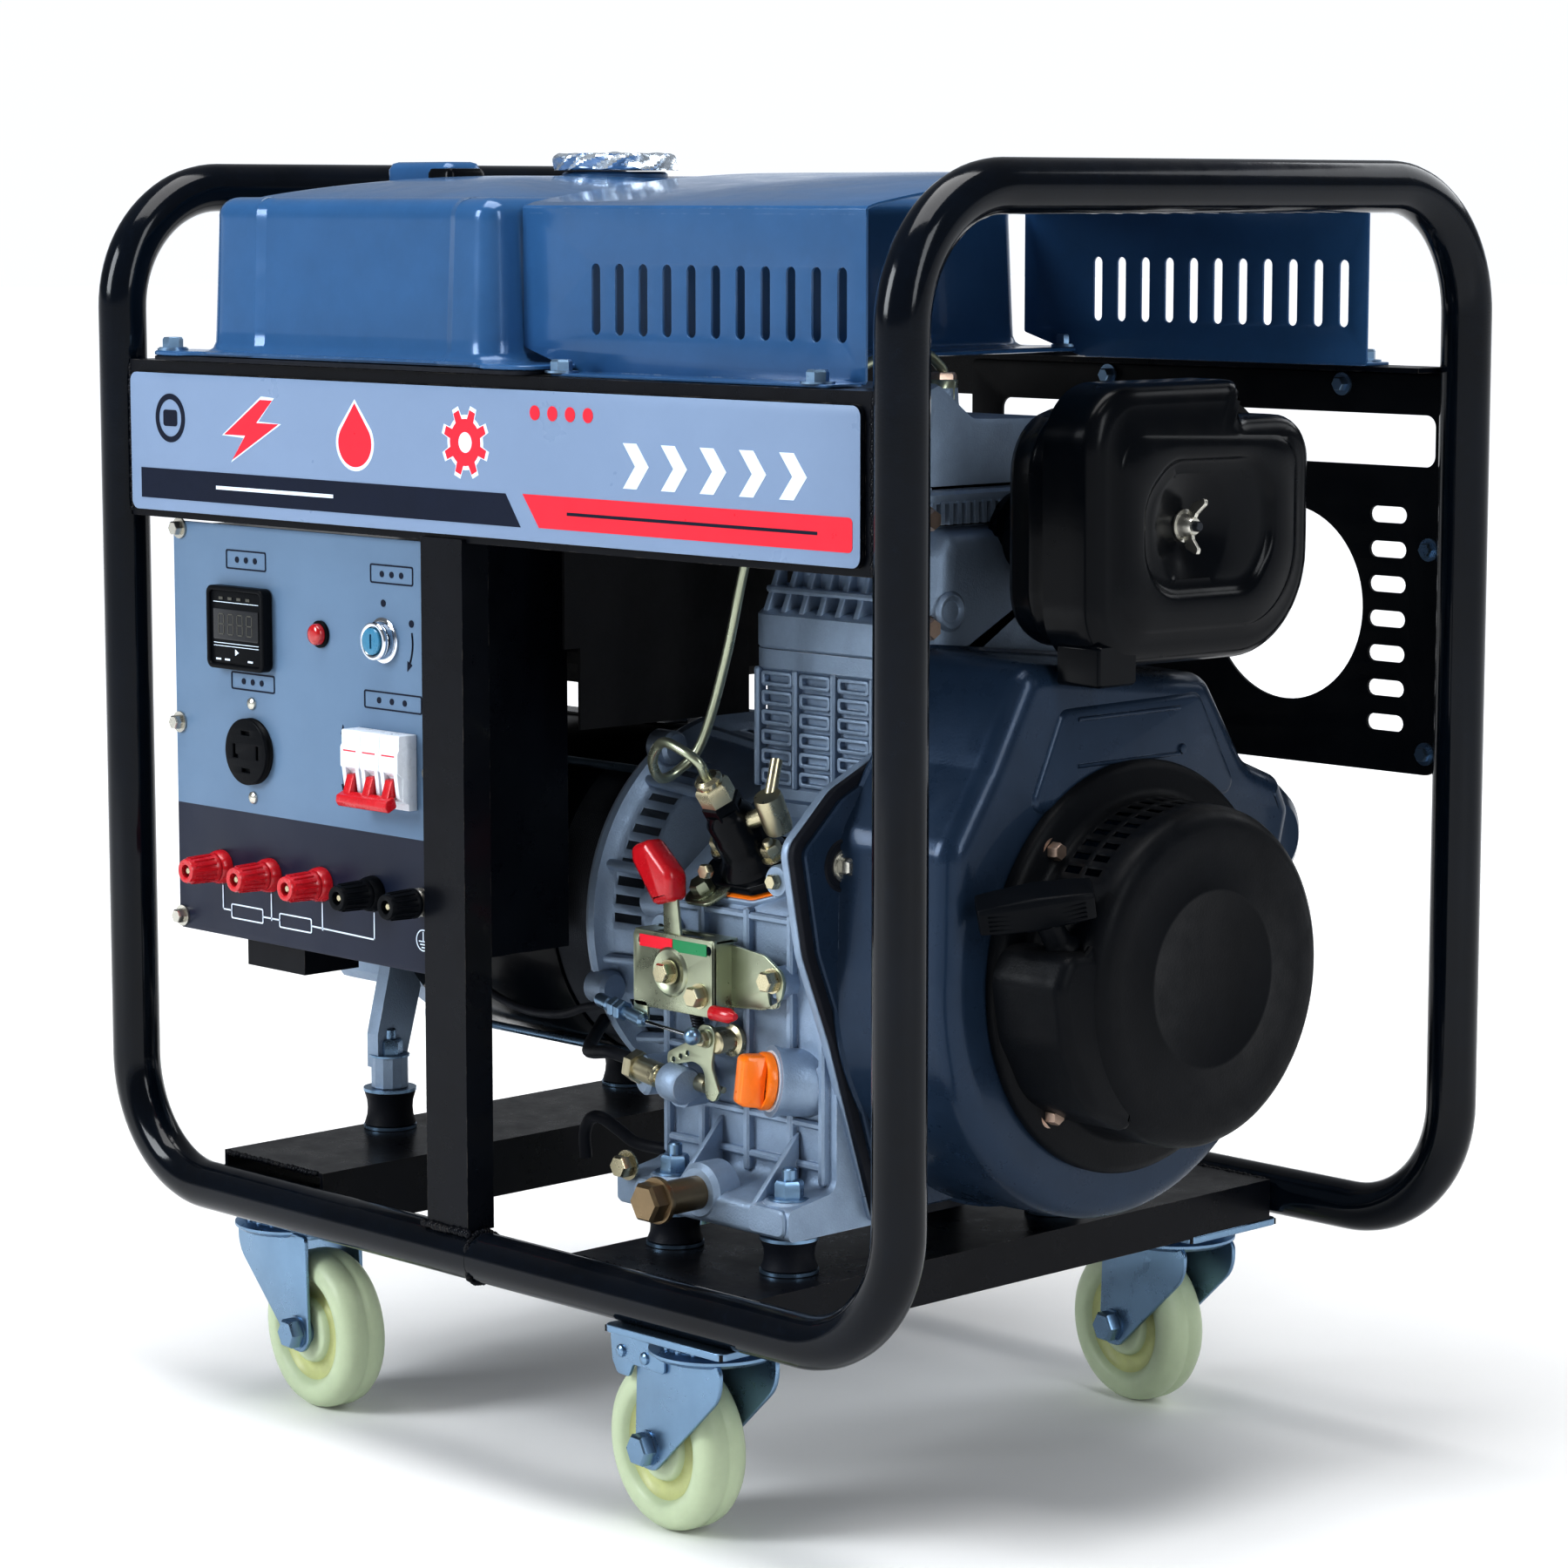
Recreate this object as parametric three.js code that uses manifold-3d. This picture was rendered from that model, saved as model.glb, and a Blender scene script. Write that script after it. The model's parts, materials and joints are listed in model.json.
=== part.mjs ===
// Open-frame diesel generator set on castors: tube frame, single-cylinder engine, alternator, tank and panel.
// Millimetres, +Z up. X runs along the panel side, with the recoil starter at +X; the panel faces -Y.
// The crankshaft axis is y = 0, z = CRANK_Z. The floor is z = 0.
import * as THREE from 'three';
import { mergeVertices } from 'three/addons/utils/BufferGeometryUtils.js';
import Module from 'manifold-3d';

const wasm = await Module();
wasm.setup();

// ---- driving dimensions ----
const GAP = 0.3; // clearance between neighbours
const TUBE_R = 15;
const HALF_L = 342.5; // frame tube centres, along X
const HALF_W = 237; // frame tube centres, along Y
const RAIL_Z = 140;
const TOP_Z = 763;
const BEND_R = 75;
const BEAM_Z = [560, 657];
const CRANK_Z = 321.5;
const SHAFT_R = 17.4;
const WHEEL_R = 50;
const WHEEL_W = 32;
const CASTOR_TRAIL = 35;
const PLATE_Z = [120.7, 124.3]; // castor top plates
const PANEL_Y = -237;
const PANEL_X = [-293, -45];
const PANEL_Z = [302, 558];
const STATOR_R = 106;
const ALT_X = [-300, -250, -42, 49.7]; // end cover, stator, bracket, crankcase face
const CASE_X = [50, 200];
const SHROUD_X = [200.3, 292];
const TANK_X = [-262, 12];
const COVER_X = [12.3, 290];
const COVER_Y = 211;
const FLANGE_Z = 657.3; // sheet flanges lie on the beams here

// ---- materials ----
const paint = (color, roughness = 0.35, metalness = 0) =>
  new THREE.MeshStandardMaterial({ color, roughness, metalness });
const BLACK = 0x0c0e12;
const BLUE_GREY = 0x3d526e;
const CAST = 0x9aa1ab;
const ZINC = 0x9fb4c4;
const RED = 0xb51a22;

// ---- solids ----
function toSolid(geometry) {
  const bare = geometry.index ? geometry.toNonIndexed() : geometry.clone();
  bare.deleteAttribute('normal');
  bare.deleteAttribute('uv');
  const merged = mergeVertices(bare, 1e-4);
  const triVerts = new Uint32Array(merged.index.array);
  const vertProperties = merged.attributes.position.array;
  return new wasm.Manifold(new wasm.Mesh({ numProp: 3, vertProperties, triVerts }));
}

function toGeometry(solid) {
  const made = solid.getMesh();
  const geometry = new THREE.BufferGeometry();
  geometry.setAttribute('position', new THREE.BufferAttribute(new Float32Array(made.vertProperties), 3));
  geometry.setIndex(new THREE.BufferAttribute(new Uint32Array(made.triVerts), 1));
  geometry.computeVertexNormals();
  return geometry;
}

const join = (...pieces) => toGeometry(pieces.map(toSolid).reduce((whole, next) => whole.add(next)));
const cut = (body, ...tools) =>
  toGeometry(tools.map(toSolid).reduce((whole, tool) => whole.subtract(tool), toSolid(body)));

// ---- shapes: the profile plane is (y, z) for axis x, (x, z) for axis y and (x, y) for axis z ----
const TO_X = new THREE.Matrix4().makeBasis(
  new THREE.Vector3(0, 1, 0),
  new THREE.Vector3(0, 0, 1),
  new THREE.Vector3(1, 0, 0),
);

function alongAxis(geometry, axis, from, to) {
  if (axis === 'x') return geometry.applyMatrix4(TO_X).translate(from, 0, 0);
  if (axis === 'y') return geometry.rotateX(Math.PI / 2).translate(0, to, 0);
  return geometry.translate(0, 0, from);
}

function slab(axis, shape, from, to, bevel = 0, curveSegments = 3) {
  const geometry = new THREE.ExtrudeGeometry(shape, {
    depth: to - from - 2 * bevel,
    curveSegments,
    bevelEnabled: bevel > 0,
    bevelThickness: bevel,
    bevelSize: bevel,
    bevelOffset: -bevel,
    bevelSegments: 1,
  });
  return alongAxis(geometry.translate(0, 0, bevel), axis, from, to);
}

const polygon = (points) => new THREE.Shape(points.map(([u, v]) => new THREE.Vector2(u, v)));

function roundRect(u0, u1, v0, v1, r) {
  const shape = new THREE.Shape();
  shape.absarc(u1 - r, v0 + r, r, -Math.PI / 2, 0);
  shape.absarc(u1 - r, v1 - r, r, 0, Math.PI / 2);
  shape.absarc(u0 + r, v1 - r, r, Math.PI / 2, Math.PI);
  shape.absarc(u0 + r, v0 + r, r, Math.PI, 1.5 * Math.PI);
  return shape;
}

// An upright or level slot with pointed ends, wide enough apart from its ends to pass for a round-ended one.
function slotShape(u0, u1, v0, v1) {
  const upright = v1 - v0 > u1 - u0;
  const [u, v, half] = [(u0 + u1) / 2, (v0 + v1) / 2, Math.min(u1 - u0, v1 - v0) / 2];
  const points = upright
    ? [[u0, v0 + half], [u, v0], [u1, v0 + half], [u1, v1 - half], [u, v1], [u0, v1 - half]]
    : [[u0, v], [u0 + half, v0], [u1 - half, v0], [u1, v], [u1 - half, v1], [u0 + half, v1]];
  return polygon(points);
}

function box(x0, x1, y0, y1, z0, z1) {
  const geometry = new THREE.BoxGeometry(x1 - x0, y1 - y0, z1 - z0);
  return geometry.translate((x0 + x1) / 2, (y0 + y1) / 2, (z0 + z1) / 2);
}

// A cylinder along an axis; a and b are the other two coordinates in X, Y, Z order.
function rod(axis, r, from, to, a, b, sides = 20) {
  const geometry = new THREE.CylinderGeometry(r, r, to - from, sides);
  const middle = (from + to) / 2;
  if (axis === 'x') return geometry.rotateZ(-Math.PI / 2).translate(middle, a, b);
  if (axis === 'y') return geometry.translate(a, middle, b);
  return geometry.rotateX(Math.PI / 2).translate(a, b, middle);
}

// A cylinder between two points.
function strut(p, q, r, sides = 14) {
  const start = new THREE.Vector3(...p);
  const way = new THREE.Vector3(...q).sub(start);
  const geometry = new THREE.CylinderGeometry(r, r, way.length(), sides);
  geometry.translate(0, way.length() / 2, 0);
  geometry.applyQuaternion(new THREE.Quaternion().setFromUnitVectors(new THREE.Vector3(0, 1, 0), way.normalize()));
  return geometry.translate(start.x, start.y, start.z);
}

// A solid of revolution about the crankshaft axis; the profile is a list of [radius, x].
function turned(profile, sides = 24) {
  const points = profile.map(([r, x]) => new THREE.Vector2(r, x));
  const geometry = new THREE.LatheGeometry(points, sides);
  return geometry.rotateZ(-Math.PI / 2).translate(0, 0, CRANK_Z);
}

// A path that is sampled only at its own stations, so straight runs take no extra faces.
class StationPath extends THREE.Curve {
  constructor(stations) {
    super();
    this.stations = stations;
  }
  getPoint(t) {
    const last = this.stations.length - 1;
    const at = Math.min(Math.max(t * last, 0), last);
    const i = Math.min(Math.floor(at), last - 1);
    return this.stations[i].clone().lerp(this.stations[i + 1], at - i);
  }
  getPointAt(u) {
    return this.getPoint(u);
  }
  getTangentAt(u) {
    return this.getTangent(u);
  }
}

// Corners of a polyline rounded to a radius, as stations.
function filleted(corners, radius, steps) {
  const points = corners.map((c) => new THREE.Vector3(...c));
  const stations = [points[0]];
  for (let i = 1; i < points.length - 1; i++) {
    const back = points[i - 1].clone().sub(points[i]).normalize();
    const ahead = points[i + 1].clone().sub(points[i]).normalize();
    const half = back.angleTo(ahead) / 2;
    const reach = radius / Math.tan(half);
    const centre = back.clone().add(ahead).normalize().multiplyScalar(radius / Math.sin(half)).add(points[i]);
    const from = points[i].clone().addScaledVector(back, reach).sub(centre);
    const to = points[i].clone().addScaledVector(ahead, reach).sub(centre);
    const turn = from.angleTo(to);
    for (let k = 0; k <= steps; k++) {
      const a = (k / steps) * turn;
      const arm = from.clone().multiplyScalar(Math.sin(turn - a)).addScaledVector(to, Math.sin(a));
      stations.push(arm.divideScalar(Math.sin(turn)).add(centre));
    }
  }
  stations.push(points[points.length - 1]);
  return stations;
}

function bentTube(stations, r, sides) {
  const section = polygon(
    Array.from({ length: sides }, (_, i) => {
      const a = (2 * Math.PI * i) / sides;
      return [r * Math.cos(a), r * Math.sin(a)];
    }),
  );
  return new THREE.ExtrudeGeometry(section, {
    steps: stations.length - 1,
    extrudePath: new StationPath(stations),
  });
}

// ---- the scene ----
const machine = new THREE.Group();

function add(name, geometry, material, parent = machine) {
  const mesh = new THREE.Mesh(geometry, material);
  mesh.name = name;
  parent.add(mesh);
  return mesh;
}

// Each half of the frame is one bent tube; the halves meet at x = 0 on both rails.
function frameTube(side) {
  const x = side * HALF_L;
  const seam = side * (GAP / 2);
  const corners = [
    [seam, -HALF_W, RAIL_Z],
    [x, -HALF_W, RAIL_Z],
    [x, -HALF_W, TOP_Z],
    [x, HALF_W, TOP_Z],
    [x, HALF_W, RAIL_Z],
    [seam, HALF_W, RAIL_Z],
  ];
  return bentTube(filleted(corners, BEND_R, 5), TUBE_R, 12);
}

// Channel beam between the uprights, and the square post welded under it.
function frontBrace() {
  const reach = HALF_L - TUBE_R - 0.4;
  const web = box(-reach, reach, -243, -240, ...BEAM_Z);
  const top = box(-reach, reach, -243, -215, BEAM_Z[1] - 3, BEAM_Z[1]);
  const bottom = box(-reach, reach, -243, -215, BEAM_Z[0], BEAM_Z[0] + 3);
  const sign = slab('y', roundRect(-323, 322, 564, 650, 6), -244.6, -242);
  const post = box(-40, -3, -246, -226, RAIL_Z + TUBE_R + GAP, BEAM_Z[0] + 2);
  return join(web, top, bottom, sign, post);
}

function rearBrace() {
  const reach = HALF_L - TUBE_R - 0.4;
  return join(box(-reach, reach, 240, 243, 629, 657), box(-reach, reach, 212, 243, 654, 657));
}

function rearGuard() {
  const sheet = box(-60, 327, 237.3, 239.7, 412, 652);
  const window = slab('y', roundRect(-33, 321, 597, 628, 6), 230, 250);
  const hole = rod('y', 60, 230, 250, 208, 510, 28);
  const slots = Array.from({ length: 7 }, (_, i) => {
    const z = 441.5 + 21 * i;
    return slab('y', slotShape(272.5, 300.5, z - 5, z + 5), 230, 250);
  });
  return cut(sheet, window, hole, ...slots);
}

// Folded base channel across the rails, with the two castor plates welded under it.
function baseChannel(x0, x1, top, plates) {
  const end = HALF_W - TUBE_R - GAP;
  const sheet = 3;
  const pieces = [
    box(x0, x1, -end, end, top - sheet, top),
    box(x0, x0 + sheet, -end, end, PLATE_Z[1] - 0.3, top),
    box(x1 - sheet, x1, -end, end, PLATE_Z[1] - 0.3, top),
  ];
  for (const [x, y] of plates) pieces.push(box(x - 48, x + 48, y - 40, y + 40, ...PLATE_Z));
  return join(...pieces);
}

// ---- castors ----
// name, swivel axis x, y, and the heading of the trail in degrees from +X
const CASTORS = [
  ['fl', -247, -186, -5],
  ['fr', 170, -210, 174],
  ['rl', -235, 188, 150],
  ['rr', 167, 188, 172],
];

// In the castor's own frame: swivel axis at the origin, wheel at +X, floor at z = 0.
function castorFork() {
  const legIn = WHEEL_W / 2 + 2.5;
  const outline = polygon([
    [-30, 110],
    [-26, 92],
    [CASTOR_TRAIL - 13, 46],
    [CASTOR_TRAIL - 7, 38],
    [CASTOR_TRAIL + 7, 38],
    [CASTOR_TRAIL + 13, 46],
    [CASTOR_TRAIL + 12, 92],
    [CASTOR_TRAIL + 4, 110],
  ]);
  const crown = rod('z', 34, 107, 112, 0, 0, 16);
  const race = rod('z', 30, 111, PLATE_Z[0] - GAP, 0, 0, 16);
  const bridge = box(-20, CASTOR_TRAIL + 3, -legIn - 3, legIn + 3, 107, 110);
  const legs = [-1, 1].map((side) => slab('y', outline, Math.min(side * legIn, side * (legIn + 3)),
    Math.max(side * legIn, side * (legIn + 3))));
  const axle = rod('y', 5, -legIn - 9, legIn + 9, CASTOR_TRAIL, WHEEL_R, 10);
  const heads = [-1, 1].map((side) => rod('y', 10, Math.min(side * (legIn + 2), side * (legIn + 9)),
    Math.max(side * (legIn + 2), side * (legIn + 9)), CASTOR_TRAIL, WHEEL_R, 6));
  return join(crown, race, bridge, ...legs, axle, ...heads);
}

// Centred on the axle, which runs along Y.
function castorWheel() {
  const half = WHEEL_W / 2;
  const bore = 5.4;
  const profile = [
    [bore, -half],
    [18, -half],
    [24, -half + 3],
    [34, -half],
    [44, -half],
    [WHEEL_R, -half + 8],
    [WHEEL_R, half - 8],
    [44, half],
    [34, half],
    [24, half - 3],
    [18, half],
    [bore, half],
    [bore, -half],
  ];
  return new THREE.LatheGeometry(profile.map(([r, y]) => new THREE.Vector2(r, y)), 20);
}

function addCastors() {
  for (const [name, x, y, heading] of CASTORS) {
    const castor = new THREE.Group();
    castor.position.set(x, y, 0);
    castor.rotation.z = THREE.MathUtils.degToRad(heading);
    machine.add(castor);
    add('castor_fork_' + name, castorFork(), paint(ZINC, 0.35, 0.8), castor);
    const wheel = add('castor_wheel_' + name, castorWheel(), paint(0xd9e0c0, 0.5), castor);
    wheel.position.set(CASTOR_TRAIL, 0, WHEEL_R);
  }
}

// ---- control box ----
function controlBox() {
  const [x0, x1, y0, y1, z0, z1] = [-288, -50, -235, -125, 306, 555];
  const wall = 2.5;
  const outer = box(x0, x1, y0, y1, z0, z1);
  const inner = box(x0 + wall, x1 - wall, y0 - 1, y1 - wall, z0 + wall, z1 - wall);
  const bracket = box(-235, -178, -228, -186, 284, z0 + 1);
  return join(cut(outer, inner), bracket);
}

const TERMINAL_X = [-247.5, -198.5, -148, -98, -52];
const TERMINAL_Z = 345;
const KEY = { x: -86, z: 497.5 };
const BREAKER = { x0: -110, x1: -56, z0: 399, z1: 444, front: -252 };

function controlPanel() {
  const plate = slab('y', roundRect(...PANEL_X, ...PANEL_Z, 3), PANEL_Y, PANEL_Y + 1.7);
  const bases = TERMINAL_X.map((x) => rod('y', 8, PANEL_Y - 7, PANEL_Y + 1, x, TERMINAL_Z, 12));
  const studs = TERMINAL_X.map((x) => rod('y', 2, PANEL_Y - 24, PANEL_Y, x, TERMINAL_Z, 8));
  return join(plate, ...bases, ...studs);
}

// A binding-post knob, bored for its stud.
function terminalKnob(x) {
  const knob = rod('y', 9, PANEL_Y - 29, PANEL_Y - 7 - GAP, x, TERMINAL_Z, 16);
  return cut(knob, rod('y', 2.4, PANEL_Y - 25, PANEL_Y, x, TERMINAL_Z, 8));
}

function digitalMeter() {
  const bezel = slab('y', roundRect(-250, -193, 470, 521, 4), PANEL_Y - 8, PANEL_Y - GAP, 1);
  return cut(bezel, box(-243, -200, PANEL_Y - 9, PANEL_Y - 6.5, 487, 509));
}

function keySwitch() {
  const { x, z } = KEY;
  const ring = rod('y', 12.5, PANEL_Y - 9, PANEL_Y - GAP, x, z, 24);
  return cut(ring, rod('y', 8.4, PANEL_Y - 10, PANEL_Y - 3, x, z));
}

function keyRotor() {
  const { x, z } = KEY;
  const disc = rod('y', 8, PANEL_Y - 11, PANEL_Y - 3.4, x, z);
  return cut(disc, box(x - 0.8, x + 0.8, PANEL_Y - 12, PANEL_Y - 5, z - 4, z + 4));
}

function outletSocket() {
  const face = rod('y', 20.5, PANEL_Y - 6, PANEL_Y - GAP, -215, 420, 28);
  const tabs = slab('y', roundRect(-221, -209, 391, 449, 5.9), PANEL_Y - 3, PANEL_Y - GAP);
  const slots = [45, 135, 225, 315].map((degrees) =>
    box(-4, 4, PANEL_Y - 9, PANEL_Y - 2, 10, 12.5).rotateY(THREE.MathUtils.degToRad(degrees)).translate(-215, 0, 420));
  return cut(join(face, tabs), ...slots);
}

function breakerBody() {
  const { x0, x1, z0, z1, front } = BREAKER;
  const body = box(x0, x1, front, PANEL_Y - GAP, z0, z1);
  return cut(body, box(x0 + 3, x1 - 3, front - 1, front + 8, z0 + 5, z0 + 19));
}

// The three tied toggles, in the slot of the breaker, lever down.
function breakerToggle() {
  const { x0, x1, z0, front } = BREAKER;
  const bar = box(x0 + 4, x1 - 4, front - 8, front - 4, z0 + 3, z0 + 8);
  const arms = [1, 3, 5].map((i) => {
    const x = x0 + ((x1 - x0) * i) / 6;
    return strut([x, front + 4, z0 + 12], [x, front - 6, z0 + 6], 3, 8);
  });
  const shaft = rod('x', 3, x0 + 4, x1 - 4, front + 4, z0 + 12, 10);
  return join(bar, ...arms, shaft);
}

// ---- tank, cover, exhaust ----
function fuelTank() {
  const [x0, x1] = TANK_X;
  const [y0, y1] = [-236, 209];
  const flange = slab('z', roundRect(-302, 57, y0 - 14, y1 + 13, 22), FLANGE_Z + 3, FLANGE_Z + 6);
  const body = slab('z', roundRect(x0, x1, y0, y1, 34), FLANGE_Z + 4, 757, 6);
  const dome = new THREE.ExtrudeGeometry(roundRect(x0, x1, y0, y1, 90), {
    depth: 1,
    curveSegments: 3,
    bevelThickness: 20,
    bevelSize: 84,
    bevelOffset: -88,
    bevelSegments: 3,
  }).translate(0, 0, 749);
  const neck = rod('z', 30, 760, 773, -120, -22);
  const gauge = box(-232, -170, -116, -84, 758, 779);
  return join(flange, body, dome, neck, gauge);
}

const CAP = { x: -120, y: -22 };

function mufflerCover() {
  const [x0, x1] = COVER_X;
  const arch = (y, edge, crown) => {
    const shape = new THREE.Shape();
    shape.moveTo(-y, FLANGE_Z - 1);
    shape.lineTo(y, FLANGE_Z - 1);
    shape.lineTo(y, edge);
    shape.quadraticCurveTo(0, 2 * crown - edge, -y, edge);
    return shape;
  };
  const skin = cut(
    slab('x', arch(COVER_Y, 752, 771), x0, x1),
    slab('x', arch(COVER_Y - 2, 750, 769), x0 - 1, x1 + 1),
  );
  const flanges = [-1, 1].map((side) => {
    const ys = [side * (COVER_Y - 2), side * (COVER_Y + 25)];
    return box(62, x1, Math.min(...ys), Math.max(...ys), FLANGE_Z, FLANGE_Z + 2);
  });
  const slots = Array.from({ length: 11 }, (_, i) => {
    const x = 75 + (i * (272 - 75)) / 10;
    return slab('y', slotShape(x - 3.7, x + 3.7, 680, 721), -230, 230);
  });
  const overTankFlange = box(x0 - 1, 60.5, -230, 230, 600, FLANGE_Z + 6 + GAP);
  const under = box(x0 - 1, x1 + 1, -240, 240, 600, FLANGE_Z);
  return cut(join(skin, ...flanges), ...slots, overTankFlange, under);
}

function muffler() {
  const can = slab('x', roundRect(-118, 60, 462, 590, 30), -225, -34, 6);
  const shield = join(box(-14, -12, -148, -10, 443, 600), box(-14, -12, -160, -147, 492, 600));
  const stay = box(-42, -13, -100, -60, 515, 545);
  const pipe = rod('x', 15, -45, 57.5, 30, 545);
  return join(can, shield, stay, pipe);
}

// ---- engine ----
// Bolting face between crankcase and shroud, seen along X.
const CASE_FLANGE = [
  [-115, 174],
  [80, 174],
  [125, 225],
  [148, 321],
  [125, 415],
  [90, 440],
  [-95, 452],
  [-150, 428],
  [-183, 398],
  [-171, 335],
  [-150, 283],
];

function crankcase() {
  const [x0, x1] = CASE_X;
  const section = polygon([
    [-178, 172],
    [100, 172],
    [100, 300],
    [80, 350],
    [74, 394],
    [-74, 394],
    [-97, 383],
    [-140, 352],
    [-140, 196],
    [-178, 190],
  ]);
  const body = join(
    slab('x', section, x0, x1 - 3),
    slab('x', polygon(CASE_FLANGE), x1 - 6, x1),
    slab('z', roundRect(62, 178, -72, 72, 12), 390, 493),
    rod('x', 97, x0 + 10, x1 - 10, 0, CRANK_Z, 32),
    strut([172, -130, 254], [160, -157, 257], 17),
    rod('y', 9, -215, -160, 122, 189.5, 16),
    rod('y', 15, -214, -206, 122, 189.5, 6),
  );
  return cut(
    body,
    box(x0 + 12, x1 - 18, -104, 78, 190, 378),
    rod('z', 43, 370, 500, 122, 0, 32),
    rod('x', 18, x0 - 5, x1 + 5, 0, CRANK_Z),
  );
}

function cylinderHead() {
  const fins = [528, 544, 560, 576, 592].map((z) =>
    slab('z', roundRect(62, 192, -76, 76, 14), z - 2.5, z + 2.5, 0, 1));
  return join(
    slab('z', roundRect(58, 194, -78, 78, 16), 493 + GAP, 516, 0, 2),
    slab('z', roundRect(72, 184, -64, 64, 14), 515, 602, 0, 1),
    ...fins,
    slab('z', roundRect(80, 184, -56, 56, 16), 601, 646, 0, 2),
    rod('z', 8, 640, 651, 172, -30, 10),
  );
}

function flywheelShroud() {
  const outline = new THREE.Shape();
  outline.absarc(0, CRANK_Z, 150, Math.PI - 0.1, 2 * Math.PI + 0.35);
  outline.lineTo(151, 398);
  outline.lineTo(139, 420);
  outline.lineTo(108, 432);
  outline.lineTo(72, 486);
  outline.lineTo(-84, 503);
  outline.lineTo(-118, 445);
  outline.lineTo(-148, 402);
  const [x0, x1] = SHROUD_X;
  const hood = slab('x', outline, x0 - 8, x1, 8, 14);
  return cut(
    join(hood, slab('x', polygon(CASE_FLANGE), x0, x0 + 5)),
    box(x0 - 20, x0, -220, 220, 100, 600),
    rod('x', 128, x0 - 1, x1 - 10, 0, CRANK_Z, 28),
    rod('x', 92, x1 - 20, x1 + 1, 0, CRANK_Z, 24),
  );
}

function flywheel() {
  return turned([
    [SHAFT_R + 0.5, 226],
    [60, 226],
    [100, 212],
    [120, 212],
    [120, 240],
    [96, 268],
    [60, 268],
    [SHAFT_R + 0.5, 262],
    [SHAFT_R + 0.5, 226],
  ]);
}

// Shaft, crank throw and alternator rotor in one turning piece.
function crankshaft() {
  return join(
    rod('x', SHAFT_R, -294, 282, 0, CRANK_Z),
    rod('x', 62, -235, -75, 0, CRANK_Z, 24),
    rod('x', 50, 98, 112, 0, CRANK_Z),
    rod('x', 50, 132, 146, 0, CRANK_Z),
    rod('x', 17, 110, 134, 0, CRANK_Z + 30, 12),
  );
}

const ROPE = [330, -97, 346]; // mouth of the rope guide
const ROPE_AXIS = [0, -0.57, 0.822];
const alongRope = (reach) => ROPE.map((value, i) => value + reach * ROPE_AXIS[i]);

function recoilHousing() {
  const shell = turned([
    [88, SHROUD_X[1] + GAP],
    [116, SHROUD_X[1] + GAP],
    [116, 300],
    [97, 303],
    [97, 345],
    [94.5, 351],
    [88, 354.7],
    [0, 354.7],
    [0, 351.5],
    [86, 351.5],
    [94, 345],
    [94, 303],
    [88, SHROUD_X[1] + GAP],
  ]);
  return cut(join(shell, strut(alongRope(-26), ROPE, 18, 18)), strut(alongRope(-8), alongRope(2), 10, 12));
}

// T-grip on its stem; the grip lies level, across the rope.
function recoilHandle() {
  const grip = slab('x', roundRect(-10, 10, -11, 11, 8), -31, 31, 2);
  grip.rotateZ(THREE.MathUtils.degToRad(46)).translate(...alongRope(30));
  return join(grip, strut(alongRope(1), alongRope(26), 7, 12));
}

function airCleanerBase() {
  return join(slab('x', roundRect(-70, 112, 506, 640, 34), 258, 290, 4), rod('x', 22, 194 + GAP, 262, 10, 562));
}

const WING_NUT = { y: 13, z: 574 };

function airCleanerCover() {
  const outline = new THREE.Shape();
  outline.absarc(-38, 532, 34, Math.PI, 1.5 * Math.PI);
  outline.absarc(57, 556, 60, -Math.PI / 2, 0);
  outline.absarc(92, 608, 25, 0, Math.PI / 2);
  outline.lineTo(54, 634);
  outline.lineTo(52, 653);
  outline.absarc(-36, 617, 36, Math.PI / 2, Math.PI);
  const { y, z } = WING_NUT;
  return cut(slab('x', outline, 290 + GAP, 330, 5), rod('x', 38, 318, 335, y, z, 28));
}

function wingNut() {
  const { y, z } = WING_NUT;
  const wings = [-1, 1].map((side) => strut([324, y, z], [333, y, z + side * 15], 3, 8));
  return join(rod('x', 8, 318 + GAP, 329, y, z, 12), ...wings);
}

// Built along its own +Z, then leaned outwards over the crankcase shoulder.
const PUMP = { x: 113, y: -118.5, z: 367.5, lean: 35.8 };

function injectionPump() {
  return join(
    slab('z', roundRect(-30, 30, -22, 22, 14), GAP, 11),
    rod('z', 15, 10, 50, 0, 0),
    rod('z', 11.5, 49, 62, 0, 0, 6),
    rod('z', 9, 61, 76, 0, 0, 6),
    strut([0, 0, 34], [24, 8, 42], 5, 10),
  );
}

function injectionPipe() {
  const lean = THREE.MathUtils.degToRad(PUMP.lean);
  const [sin, cos] = [Math.sin(lean), Math.cos(lean)];
  const start = [PUMP.x, PUMP.y - 76.8 * sin, PUMP.z + 76.8 * cos];
  const out = [PUMP.x, PUMP.y - 86 * sin, PUMP.z + 86 * cos];
  const route = new THREE.CatmullRomCurve3(
    [
      start,
      out,
      [101, -172, 444],
      [84, -170, 446],
      [68, -163, 434],
      [58, -148, 421],
      [58, -134, 424],
      [68, -124, 441],
      [84, -120, 490],
      [98, -118, 545],
      [108, -112, 590],
      [126, -98, 632],
      [150, -76, 660],
      [168, -50, 670],
      [172, -32, 660],
      [172, -30, 652.6],
    ].map((p) => new THREE.Vector3(...p)),
    false,
    'centripetal',
  );
  return bentTube(route.getSpacedPoints(34), 3, 6);
}

const LEVER_PIVOT = { x: 86, z: 312 };
const ARM_PIVOT = { x: 113, z: 276 };

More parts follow.
